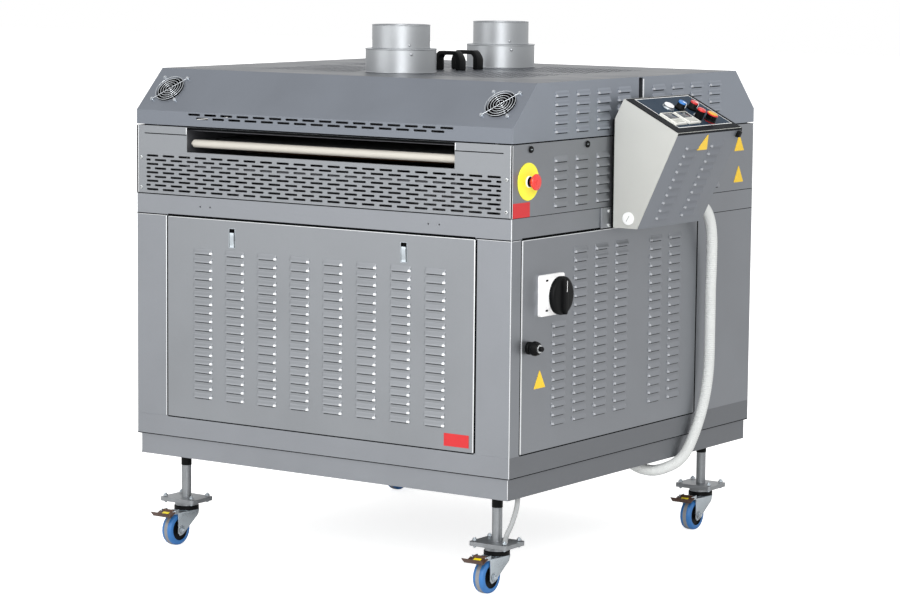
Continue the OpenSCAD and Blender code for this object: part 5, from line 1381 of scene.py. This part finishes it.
@dataclass
class LidFittings:
    """Handles, duct beads and screws on the two hood halves."""

    handle_x: float = 20.0
    handle_y: float = 39.0
    duct_y: float = 221.0
    collar_r: float = 87.0
    spigot_r: float = 71.0

    def build_handles(self) -> None:
        """Mould one bridge handle and copy it to each hood half."""
        half = [
            (41, 0), (41, 25), (38, 33), (31, 43), (25, 47.5),
            (15, 38), (21, 36), (25, 30), (25, 0),
        ]
        outer, inner = half[:5], half[5:]
        outline = [(-x, z) for x, z in outer] + outer[::-1] + inner[::-1] + [(-x, z) for x, z in inner]
        data = bpy.data.meshes.new("handle")
        data.from_pydata([(x * MM, -12.5 * MM, z * MM) for x, z in outline], [], [list(range(len(outline)))])
        handle = Bench.link("handle", data)
        with Bench.editing(handle):
            pull((0, 25, 0))
            bpy.ops.mesh.select_all(action="SELECT")
            bpy.ops.mesh.normals_make_consistent(inside=False)
        Bench.round_edges(handle, 2.2, 3, 50)
        Bench.paint(handle, BLACK_ABS)
        Bench.smooth(handle, 30)
        for name, sign in (("front", -1), ("rear", 1)):
            where = at_place(self.handle_x, sign * self.handle_y, TOP_Z)
            piece = Bench.copy(handle, f"{name}_lid_handle", where)
            finish_piece(piece, f"{name}_hood", "black", f"lid_handle_{name}")
        Bench.remove(handle)

    def build_duct_beads(self, name: str, sign: int) -> None:
        """Roll the bead at each junction and rim of one duct, with its small screws.

        Args:
            name: "front" or "rear".
            sign: -1 for the front duct, 1 for the rear one.
        """
        collar, spigot = self.collar_r, self.spigot_r
        parts = []
        rings = ((collar, 57.0, 1.3), (spigot, 60.0, 1.1), (spigot, 115.2, 0.9), (collar, 1.2, 1.2))
        for radius, height, thick in rings:
            deselect()
            bpy.ops.mesh.primitive_torus_add(
                major_segments=96, minor_segments=10, major_radius=radius * MM, minor_radius=thick * MM,
                location=(0, 0, height * MM),
            )
            parts.append(Bench.named("bead"))
            Bench.settle(parts[-1])
        out = Vector((math.cos(math.radians(-38)), math.sin(math.radians(-38)), 0))
        for radius, height in ((collar - 0.2, 46.0), (spigot - 0.2, 68.0)):
            screw = Bench.turned("screw", [(3.6, 0.0), (3.6, 0.8), (2.8, 2.0), (0.8, 2.4)], 24)
            parts.append(Bench.move(screw, frame_on((out * radius + Z * height) * MM, out, Z)))
        joined = Bench.join(f"{name}_duct_beads", parts)
        Bench.paint(joined, DUCT_SHEET)
        where = at_place(0, sign * self.duct_y, TOP_Z)
        finish_piece(joined, f"{name}_hood", "steel_duct", smooth=50, where=where)

    def build_liner(self, name: str, sign: int) -> None:
        """Lay a black sheet under the perforated field of one lid, clear of the duct, as painted shade behind
        the holes.

        Args:
            name: "front" or "rear".
            sign: -1 for the front lid, 1 for the rear one.
        """
        parts = []
        fields = ((-378, -90, 24, 318), (90, 378, 24, 318), (-90, 90, 24, 130), (-90, 90, 312, 318))
        for x0, x1, y0, y1 in fields:
            middle = ((x0 + x1) / 2, (y0 + y1) / 2 * sign, -0.6)
            parts.append(Bench.block("liner", (x1 - x0, y1 - y0, 0.9), middle, SHADOW_GAP))
        liner = Bench.join(f"{name}_field_liner", parts)
        finish_piece(liner, f"{name}_hood", "black", where=at_place(0, 0, TOP_Z))

    def build(self) -> None:
        """Build the fittings of both lids."""
        for name, sign in (("front", -1), ("rear", 1)):
            self.build_liner(name, sign)
            self.build_duct_beads(name, sign)
        self.build_handles()


# ---------------------------------------------------------------- control panel


@dataclass
class ControlPanel:
    """The sloping panel on the pod, with its line, displays, buttons and knobs.

    Places on the panel are y along the body and u down the slope, in millimetres.
    """

    inner_edge_mm: tuple[float, float] = (590.0, 1140.0)
    slope_rad: float = math.atan2(76.0, 150.0)
    plate_mm: float = 2.0
    line_box: tuple[float, float, float, float] = (-105.0, 149.0, 8.5, 147.0)
    line_width: float = 2.4
    display_places: tuple[tuple[float, float], ...] = ((-77.0, 110.0), (-14.0, 110.0))
    white_at: tuple[float, float] = (-21.0, 57.0)
    red_at: tuple[float, float] = (25.0, 118.0)
    yellow_at: tuple[float, float] = (66.0, 129.0)
    lamp_at: tuple[float, float] = (46.0, 98.0)
    # Radius of the stems, which pass through the plate's holes.
    stem_r: float = 7.9

    def spot(self, y: float, u: float, lift: float = 0.0) -> Matrix:
        """Matrix of a place on the panel: local +Z stands out and +Y points up the slope.

        Args:
            y: Place along the body.
            u: Distance down the panel.
            lift: Distance above the plate.

        Returns:
            The placing matrix.
        """
        down = Vector((math.cos(self.slope_rad), 0, -math.sin(self.slope_rad)))
        out = Vector((math.sin(self.slope_rad), 0, math.cos(self.slope_rad)))
        x0, z0 = self.inner_edge_mm
        origin = place(x0, y, z0) + (down * u + out * (self.plate_mm + lift)) * MM
        return frame_on(origin, out, -down)

    def build_line(self) -> None:
        """Lay the blue film and the thin pale line that runs round it."""
        y0, y1, u0, u1 = self.line_box
        where = self.spot((y0 + y1) / 2, (u0 + u1) / 2, 0.02)
        deselect()
        bpy.ops.mesh.primitive_plane_add(size=1, location=(0, 0, 0))
        line = Bench.named("panel_line")
        line.scale = Vector((y1 - y0, u1 - u0, 1)) * MM
        Bench.settle(line)
        with Bench.editing(line):
            bpy.ops.mesh.inset(thickness=self.line_width * MM)
            bpy.ops.mesh.delete(type="FACE")
        Bench.thicken(line, 0.25, 1.0)
        Bench.paint(line, WHITE_NYLON)
        finish_piece(line, "body", "white", where=where @ turned_by(180, "Z"))
        size = (y1 - y0 - 1.8 * self.line_width, u1 - u0 - 1.8 * self.line_width, 0.5)
        film = Bench.block("panel_film", size, (0, 0, -0.1), PANEL_BLUE)
        finish_piece(film, "body", "panel_blue", where=where)

    def build_displays(self) -> None:
        """Model one temperature controller and copy it to its places."""
        case = Bench.block("temperature_controller", (54, 52, 6), (0, 0, 3), edge=(1.2, 3))
        with Bench.editing(case):
            Bench.pick_faces(case, lambda c, n: n.z > 0.95 and c.z > 5.9 * MM and abs(c.x) < 20 * MM)
            bpy.ops.mesh.inset(thickness=3.2 * MM)
            pull((0, 0, -0.8))
        Bench.paint(case, LIGHT_FRAME)
        parts = [case, Bench.block("display_glass", (43, 24, 0.9), (0, 9.5, 5.6), DISPLAY_DARK, (0.3, 2))]
        for row in range(2):
            for column in range(4):
                centre = (-14.7 + 9.8 * column, -9.5 - 8.2 * row, 5.8)
                parts.append(Bench.block("controller_key", (7.6, 5.4, 1.4), centre, KEY_GREY, (0.6, 2)))
        first = Bench.join("temperature_controller", parts)
        Bench.smooth(first, 32)
        for i, (y, u) in enumerate(self.display_places):
            piece = Bench.copy(first, f"temp_controller_{i}", self.spot(y, u))
            finish_piece(piece, "body", "light_grey", *([] if i else ["temp_controllers"]))
        Bench.remove(first)

    def build_white_button(self) -> None:
        """Turn the round white push-button with its bright bezel."""
        rings = [
            (self.stem_r, -16), (self.stem_r, 4.7), (10.6, 4.9), (12.2, 5.6), (12.9, 6.8),
            (12.8, 8.4), (12.0, 10.0), (9.0, 11.2), (4.5, 11.7), (0.6, 11.8),
        ]
        where = self.spot(*self.white_at)
        cap = Bench.turned("white_push_button", rings, finish=WHITE_NYLON)
        Bench.paint(cap, DUCT_SHEET, lambda c, n: 2.0 * MM < c.z < 6.5 * MM)
        finish_piece(cap, "white_button", "white", "white_button", smooth=50, where=where)
        rings = [(15.4, 0.0), (15.4, 2.4), (14.8, 3.4), (13.6, 3.6), (13.2, 3.2), (13.2, 0.2)]
        ring = Bench.turned("white_button_bezel", rings, finish=ZINC)
        finish_piece(ring, "body", "zinc", smooth=40, where=where)

    def build_selector(self, name: str, y: float, u: float, cap_finish: Finish, slot: str) -> None:
        """Make a rotary selector: black skirt, coloured cap, grip bar and pale pointer.

        Args:
            name: Node and body of the selector.
            y: Place along the body.
            u: Place down the panel.
            cap_finish: Finish of the coloured cap.
            slot: Material slot of the record.
        """
        rings = [
            (self.stem_r, -14), (self.stem_r, 0.6), (13.4, 0.7), (14.0, 1.6), (13.6, 5.2),
            (12.0, 6.6), (11.0, 8.2), (10.8, 16.5), (10.2, 17.2), (8.5, 17.2),
        ]
        skirt = Bench.turned("skirt", rings, finish=BLACK_ABS)
        rings = [(10.4, 17.0), (10.6, 18.0), (10.4, 20.2), (9.4, 21.2), (3.0, 21.5)]
        cap = Bench.turned("cap", rings, finish=cap_finish)
        grip = Bench.block("grip", (6.4, 23.0, 9.0), (0, 0, 15.5))
        with Bench.editing(grip):
            Bench.pick_faces(grip, lambda c, n: n.z > 0.9)
            scale_picked((0.72, 0.94, 1), 20)
        Bench.round_edges(grip, 1.0, 3)
        Bench.paint(grip, BLACK_ABS)
        mark = Bench.block("pointer", (2.2, 11.5, 0.7), (0, 6.0, 21.6), WHITE_NYLON, (0.25, 2))
        drop = Bench.block("pointer_drop", (2.2, 0.8, 11.0), (0, 11.6, 14.6), WHITE_NYLON, (0.25, 2))
        knob = Bench.join(name + "_knob", [skirt, cap, grip, mark, drop])
        finish_piece(knob, name, slot, name, smooth=40, where=self.spot(y, u) @ turned_by(180, "Z"))

    def build_red_button(self) -> None:
        """Turn the tall push-button: black sleeve and red head."""
        rings = [
            (self.stem_r, -16), (self.stem_r, 4.2), (10.6, 4.6), (10.8, 6.0), (10.6, 24.5),
            (10.9, 25.0), (11.0, 27.6), (10.0, 29.2), (6.5, 30.2), (1.0, 30.5),
        ]
        head = Bench.turned("red_push_button", rings, finish=BLACK_ABS)
        Bench.paint(head, RED_ABS, lambda c, n: c.z > 24.7 * MM)
        finish_piece(head, "red_button", "red", "red_button", smooth=40, where=self.spot(*self.red_at))

    def build_yellow_knob(self) -> None:
        """Turn the fluted knob: black grip, red ring and amber disc."""
        rings = [
            (self.stem_r, -14), (self.stem_r, 0.6), (14.6, 0.8), (15.0, 2.0),
            (14.2, 5.0), (13.2, 6.0), (13.2, 17.0), (14.2, 18.0),
        ]
        grip = Bench.turned("grip", rings, 48)
        step = 360 / 48

        def flute(c: Vector, n: Vector) -> bool:
            """Every other side of the grip's neck."""
            side = round((math.degrees(math.atan2(c.y, c.x)) + 360) / step)
            return 7 * MM < c.z < 16 * MM and side % 2 == 0

        with Bench.editing(grip):
            Bench.pick_faces(grip, flute)
            bpy.ops.mesh.inset(thickness=0.15 * MM, use_individual=True)
            scale_picked((0.93, 0.93, 1))
        Bench.paint(grip, BLACK_ABS)
        Bench.paint(grip, RED_ABS, lambda c, n: 0.7 * MM < c.z < 3.4 * MM)
        rings = [(13.6, 17.6), (14.6, 18.2), (14.6, 20.0), (13.4, 21.0), (12.0, 21.0)]
        ring = Bench.turned("ring", rings, finish=RED_ABS)
        rings = [(12.2, 20.6), (12.2, 21.6), (11.2, 22.2), (5.0, 22.6), (0.8, 22.7)]
        knob = Bench.join("yellow_grip_knob", [grip, ring, Bench.turned("disc", rings, finish=AMBER_ABS)])
        where = self.spot(*self.yellow_at)
        finish_piece(knob, "yellow_knob", "yellow", "yellow_knob", smooth=35, where=where)

    def build_lamp(self) -> None:
        """Turn the small grey lamp between the knobs."""
        rings = [(5.2, 0.0), (5.2, 1.4), (4.2, 2.2), (3.8, 3.6), (2.6, 4.6), (0.6, 5.0)]
        lamp = Bench.turned("panel_lamp", rings, 32, GEAR_GREY)
        finish_piece(lamp, "body", "gear", smooth=50, where=self.spot(*self.lamp_at))

    def build(self) -> None:
        """Build all that stands on the panel."""
        self.build_line()
        self.build_displays()
        self.build_white_button()
        self.build_selector("blue_selector", 18, 67, BLUE_ABS, "blue")
        self.build_selector("red_selector", 70, 71, RED_ABS, "red")
        self.build_red_button()
        self.build_yellow_knob()
        self.build_lamp()


# ---------------------------------------------------------------- castors


@dataclass
class Castor:
    """One swivel castor: pressed fork, banded wheel and brake pedal."""

    name: str
    leg_mm: tuple[float, float]
    trail: float = 42.0
    axle_height: float = 40.0
    fork_top: float = 95.5
    half_gap: float = 18.5
    # Swivel race, centre of the fork's round back, and pivot of the pedal.
    race_r: float = 31.0
    back_y: float = 4.0
    pedal_at: tuple[float, float] = (-69.0, 88.5)

    @staticmethod
    def wheel_pattern() -> bpy.types.Object:
        """Turn the wheel about +Z: tyre, worn tread, black rim and hub.

        Returns:
            The wheel.
        """
        half = [
            (12.2, -15.6), (12.2, -12.0), (24.5, -10.6), (26.6, -11.2), (27.6, -14.2), (28.6, -15.0),
            (34.6, -15.0), (37.4, -13.4), (39.2, -10.4), (40.0, -6.4), (40.0, -5.0),
        ]
        hub = [(7.0, -16.4), (11.4, -16.4)]
        rings = [*hub, *half, *((r, -z) for r, z in reversed(half)), *((r, -z) for r, z in reversed(hub))]
        wheel = Bench.turned("castor_wheel", rings, 64, BLACK_ABS)
        Bench.paint(wheel, TYRE_BLUE, lambda c, n: math.hypot(c.x, c.y) > 28.0 * MM)
        Bench.paint(wheel, TYRE_GREY, lambda c, n: math.hypot(c.x, c.y) > 38.0 * MM and abs(c.z) < 5.5 * MM)
        Bench.smooth(wheel, 38)
        return wheel

    @staticmethod
    def pedal_pattern() -> bpy.types.Object:
        """Press the brake pedal, its pivot at the local origin and its toe towards -Y.

        Returns:
            The pedal.
        """
        plate = Bench.block("pedal_plate", (50, 22, 2.4), (0, -15, 1.5))
        with Bench.editing(plate):
            Bench.pick_faces(plate, lambda c, n: n.y < -0.9)
            pull((0, -3.0, 1.0))
            scale_picked((1.1, 1, 1))
            pull((0, -4.0, 13.0))
            scale_picked((1.05, 1, 1))
        Bench.round_edges(plate, 0.7, 2, 25)
        Bench.paint(plate, PEDAL_BROWN)
        rings = [(4.6, -16.4), (5.0, -16.0), (5.0, 16.0), (4.6, 16.4)]
        barrel = Bench.turned("pedal_barrel", rings, 24, PEDAL_BROWN)
        Bench.move(barrel, turned_by(90, "Y"))
        patch = Bench.block("pedal_patch", (20, 13, 0.8), (0, -14.5, 2.9), YELLOW_ABS, (0.3, 2))
        arm = Bench.block("pedal_arm", (30, 8, 4), (0, -4, -0.5), PEDAL_BROWN, (1.0, 2))
        pedal = Bench.join("brake_pedal", [plate, patch, barrel, arm])
        Bench.move(pedal, turned_by(24, "X"))
        Bench.smooth(pedal, 35)
        return pedal

    @classmethod
    def fork_shell(cls) -> bpy.types.Object:
        """Draw the fork's sheet down from a half round, trim it and widen it upwards.

        Returns:
            The fork's sheet.
        """
        back = cls.back_y * MM
        deselect()
        bpy.ops.mesh.primitive_circle_add(
            vertices=48, radius=cls.half_gap * MM, fill_type="NOTHING", location=(0, back, 84.5 * MM)
        )
        shell = Bench.named("fork_shell")
        Bench.settle(shell)

        def where_round_stops(a: Vector, b: Vector) -> bool:
            """The two upright edges at the ends of the half round."""
            return max(abs(a.y - back), abs(b.y - back)) < 1e-5 and abs(a.x - b.x) < 1e-6

        with Bench.editing(shell):
            Bench.pick_edges(shell, lambda a, b: (a.y + b.y) / 2 < back + 1e-6)
            bpy.ops.mesh.delete(type="EDGE")
            bpy.ops.mesh.select_all(action="SELECT")
            pull((0, 0, -62.5))
            Bench.pick_edges(shell, where_round_stops)
            pull((0, -60, 0))
            # Cuts of the side view: a place (y, z) on each and its outward direction.
            cuts = (
                ((4, 64), (0.67, -0.74)), ((-56, 60), (-1, 0)),
                ((-46, 25.4), (0.25, -0.97)), ((-53, 29), (-0.72, -0.69)),
            )
            for (y0, z0), (ny, nz) in cuts:
                bpy.ops.mesh.select_all(action="SELECT")
                bpy.ops.mesh.bisect(plane_co=(0, y0 * MM, z0 * MM), plane_no=(0, ny, nz), clear_outer=True)
            mesh = bmesh.from_edit_mesh(shell.data)
            for vert in mesh.verts:
                x, y, z = vert.co / MM
                high = min(1.0, max(0.0, (z - 34) / 50))
                near = min(1.0, max(0.0, (y + 62) / 60))
                wider, deeper = 1 + 0.55 * high * near, max(0.0, y - cls.back_y) * 0.5 * high
                vert.co = Vector((x * wider, y + deeper, z)) * MM
            bmesh.update_edit_mesh(shell.data)
        Bench.thicken(shell, 3.0, 0.0)
        Bench.round_edges(shell, 0.8, 2, 40)
        return shell

    @classmethod
    def fork_pattern(cls) -> bpy.types.Object:
        """Press the fork from one sheet, with its head, axle bolt and pedal ears.

        Returns:
            The fork.
        """
        top, gap, race = cls.fork_top, cls.half_gap, cls.race_r
        rings = [(22.0, 83.6), (29.0, 84.2), (race, 85.6), (race, top - 1.0), (30.0, top), (20.0, top + 0.2)]
        head = Bench.turned("fork_head", rings)
        saddle = Bench.block("fork_saddle", (2 * gap + 2.6, 50, 3.0), (0, -26, 83.4))
        with Bench.editing(saddle):
            Bench.pick_faces(saddle, lambda c, n: n.y > 0.9)
            scale_picked((1.45, 1, 1), 83)
        Bench.round_edges(saddle, 1.2, 3)
        parts = [cls.fork_shell(), head, saddle]
        nut_rings = [(8.2, 0), (8.8, 0.8), (8.8, 5.2), (7.6, 6.2), (5.2, 6.2), (5.0, 8.4), (4.2, 9.2)]
        washer_rings = [(10.5, 0), (10.8, 0.4), (10.8, 1.4), (10.2, 1.7), (6, 1.8)]
        for side in (-1, 1):
            ear = Bench.block("pedal_ear", (2.8, 23, 13), (side * (gap + 0.2), -64.5, 86.5))
            with Bench.editing(ear):
                Bench.pick_faces(ear, lambda c, n: n.y < -0.9)
                scale_picked((1, 1, 0.6), 88)
            Bench.round_edges(ear, 1.0, 3)
            parts.append(ear)
            for name, rings, sides, lift in (
                ("axle_nut", nut_rings, 6 if side > 0 else 24, 1.5), ("axle_washer", washer_rings, 32, 1.4),
            ):
                at = Vector((side * (gap + lift), -cls.trail, cls.axle_height)) * MM
                parts.append(Bench.move(Bench.turned(name, rings, sides), frame_on(at, X * side, Z)))
        half = [(3.6, -22.6), (4.2, -22.0), (4.2, -20.6), (2.5, -20.4)]
        pin = Bench.turned("pedal_pin", [*half, *((r, -z) for r, z in reversed(half))], 24)
        Bench.move(pin, Matrix.Translation(Vector((0, *cls.pedal_at)) * MM) @ turned_by(90, "Y"))
        fork = Bench.join("castor_fork", [*parts, pin])

        def beside_nut(c: Vector, n: Vector) -> bool:
            """The shaded ring of the washers, round the axle nuts."""
            away = math.hypot(c.y + cls.trail * MM, c.z - cls.axle_height * MM)
            return abs(c.x) > (gap + 1.6) * MM and 8.7 * MM < away < 11 * MM

        def on_race(c: Vector, n: Vector) -> bool:
            """The race under the plate, painted black as the shade beneath the plate."""
            return c.z > 85.2 * MM and math.hypot(c.x, c.y) < (race + 0.4) * MM and c.y > -36 * MM

        Bench.paint(fork, ZINC)
        # Painted shade: the washers round the axle nuts take the dark inner steel.
        Bench.paint(fork, INNER_STEEL, beside_nut)
        # Painted shade: the head under the plate is black.
        Bench.paint(fork, BLACK_ABS, on_race)
        Bench.smooth(fork, 38)
        return fork

    def build(self, wheel: bpy.types.Object, fork: bpy.types.Object, pedal: bpy.types.Object) -> None:
        """Copy the three patterns to this castor and ride them on its bodies.

        Args:
            wheel: Pattern of the wheel.
            fork: Pattern of the fork.
            pedal: Pattern of the pedal.
        """
        lx, ly = self.leg_mm
        pedal_y, pedal_z = self.pedal_at
        hub = at_place(lx, ly - self.trail, self.axle_height) @ turned_by(90, "Y")
        for pattern, where, name, body, slot, node in (
            (wheel, hub, "wheel", "wheel", "tyre_blue", "castor_wheel"),
            (fork, at_place(lx, ly, 0), "fork", "castor", "zinc", "castor_fork"),
            (pedal, at_place(lx, ly + pedal_y, pedal_z), "pedal", "pedal", "brown", "brake_pedal"),
        ):
            piece = Bench.copy(pattern, f"{name}_{self.name}", where)
            finish_piece(piece, f"{body}_{self.name}", slot, f"{node}_{self.name}")


def build_castors() -> None:
    """Model one wheel, fork and pedal, and copy them to the four corners."""
    patterns = Castor.wheel_pattern(), Castor.fork_pattern(), Castor.pedal_pattern()
    for name, (sx, sy) in CORNERS.items():
        Castor(name, (LEG_X * sx, LEG_Y * sy)).build(*patterns)
    Bench.remove(*patterns)


# ---------------------------------------------------------------- studio


@dataclass
class Studio:
    """Camera, floor and lights."""

    camera_mm: tuple[float, float, float] = (4184.5, -6230.3, 1515.1)
    yaw_deg: float = 34.422
    pitch_deg: float = 6.878
    roll_deg: float = 0.543
    lens_mm: float = 120.14
    floor_m: float = 60.0
    floor_lift: float = 0.72
    ambient: float = 0.75
    # Height that the lights face.
    aim_m: float = 0.7

    def make_camera(self) -> None:
        """Add the camera and make it the scene's own."""
        data = bpy.data.cameras.new("studio_camera")
        data.lens = self.lens_mm
        data.sensor_width = 36.0
        data.clip_end = 200.0
        camera = bpy.data.objects.new("studio_camera", data)
        turn = turned_by(self.yaw_deg, "Z") @ turned_by(90 - self.pitch_deg, "X")
        turn = turn @ turned_by(self.roll_deg, "Z")
        camera.matrix_world = Matrix.Translation(Vector(self.camera_mm) * MM) @ turn
        bpy.context.scene.collection.objects.link(camera)
        bpy.context.scene.camera = camera

    def make_floor(self) -> None:
        """Lay a wide pale floor that fades into the backdrop."""
        deselect()
        bpy.ops.mesh.primitive_plane_add(size=self.floor_m, location=(0, 0, 0))
        floor = Bench.named("studio_floor")
        material = bpy.data.materials.new("pale_floor")
        material.use_nodes = True
        tree = material.node_tree
        tree.nodes.clear()
        seen = add_node(tree, "LightPath").outputs["Is Camera Ray"]
        pale = add_node(tree, "BsdfDiffuse", {"Color": linear("#f4f4f3")})
        lift = add_node(tree, "Math", {0: seen, 1: self.floor_lift}, operation="MULTIPLY")
        glow = add_node(tree, "Emission", {"Color": (1, 1, 1, 1), "Strength": lift.outputs[0]})
        both = add_node(tree, "AddShader", {0: pale.outputs[0], 1: glow.outputs[0]})
        add_node(tree, "OutputMaterial", {"Surface": both.outputs[0]})
        floor.data.materials.append(material)

    def make_world(self) -> None:
        """Light evenly from all round, with a white backdrop."""
        world = bpy.data.worlds.new("studio_world")
        bpy.context.scene.world = world
        world.use_nodes = True
        tree = world.node_tree
        tree.nodes.clear()
        seen = add_node(tree, "LightPath").outputs
        straight = {0: seen["Is Camera Ray"], 1: seen["Is Glossy Ray"]}
        direct = add_node(tree, "Math", straight, operation="MAXIMUM")
        through = {0: direct.outputs[0], 1: seen["Is Transmission Ray"]}
        shown = add_node(tree, "Math", through, operation="MAXIMUM")
        plain = add_node(tree, "Background", {"Color": (1, 1, 1, 1), "Strength": self.ambient})
        white = add_node(tree, "Background", {"Color": (1, 1, 1, 1), "Strength": 1.0})
        mix = add_node(tree, "MixShader", {0: shown.outputs[0], 1: plain.outputs[0], 2: white.outputs[0]})
        add_node(tree, "OutputWorld", {"Surface": mix.outputs[0]})

    def add_soft_box(
        self, name: str, where: Sequence[float], size: tuple[float, float], power: float
    ) -> None:
        """Add a soft light that faces the middle of the part.

        Args:
            name: Name of the light.
            where: Its place in metres.
            size: Its width and height in metres.
            power: Its power in watts.
        """
        data = bpy.data.lights.new(name, "AREA")
        data.shape = "RECTANGLE"
        data.size, data.size_y = size
        data.energy = power
        lamp = bpy.data.objects.new(name, data)
        lamp.location = where
        aim = Z * self.aim_m - Vector(where)
        lamp.rotation_mode = "QUATERNION"
        lamp.rotation_quaternion = aim.to_track_quat("-Z", "Y")
        bpy.context.scene.collection.objects.link(lamp)

    def build(self) -> None:
        """Set up the whole studio."""
        bpy.context.scene.view_settings.view_transform = "Standard"
        self.make_camera()
        self.make_floor()
        self.make_world()
        self.add_soft_box("front_soft_box", (-3.0, -6.4, 1.7), (5.0, 2.6), 61.0)
        self.add_soft_box("camera_side_box", (4.5, -4.9, 2.3), (2.4, 3.2), 84.0)
        self.add_soft_box("tall_strip_light", (2.6, -4.4, 2.8), (0.9, 2.4), 84.0)
        self.add_soft_box("overhead_soft_box", (-0.5, -4.2, 4.6), (3.0, 2.0), 80.0)
        self.add_soft_box("right_soft_box", (3.4, -1.6, 3.2), (1.4, 1.4), 26.0)


# ---------------------------------------------------------------- assembly


def dress_nodes(nodes: dict[str, bpy.types.Object]) -> None:
    """Give every carried-over node its finish.

    Args:
        nodes: The carried-over nodes by name.
    """
    finishes = {name: finish for finish, names in NODE_FINISHES.items() for name in names.split()}
    for name, obj in nodes.items():
        Bench.paint(obj, finishes[name])


def main() -> None:
    """Build the studio, the cords and the dressed pieces in order."""
    logging.basicConfig(level=logging.INFO, format="%(name)s: %(message)s")
    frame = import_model()
    Studio().build()
    for cord in CORDS:
        cord.build()
    Seams().build()
    build_louvres()
    SideControls().build()
    SmallTrim().build()
    Pod().build()
    ControlPanel().build()
    LidFittings().build()
    build_castors()
    dress_nodes(frame["nodes"])


if __name__ == "__main__":
    main()
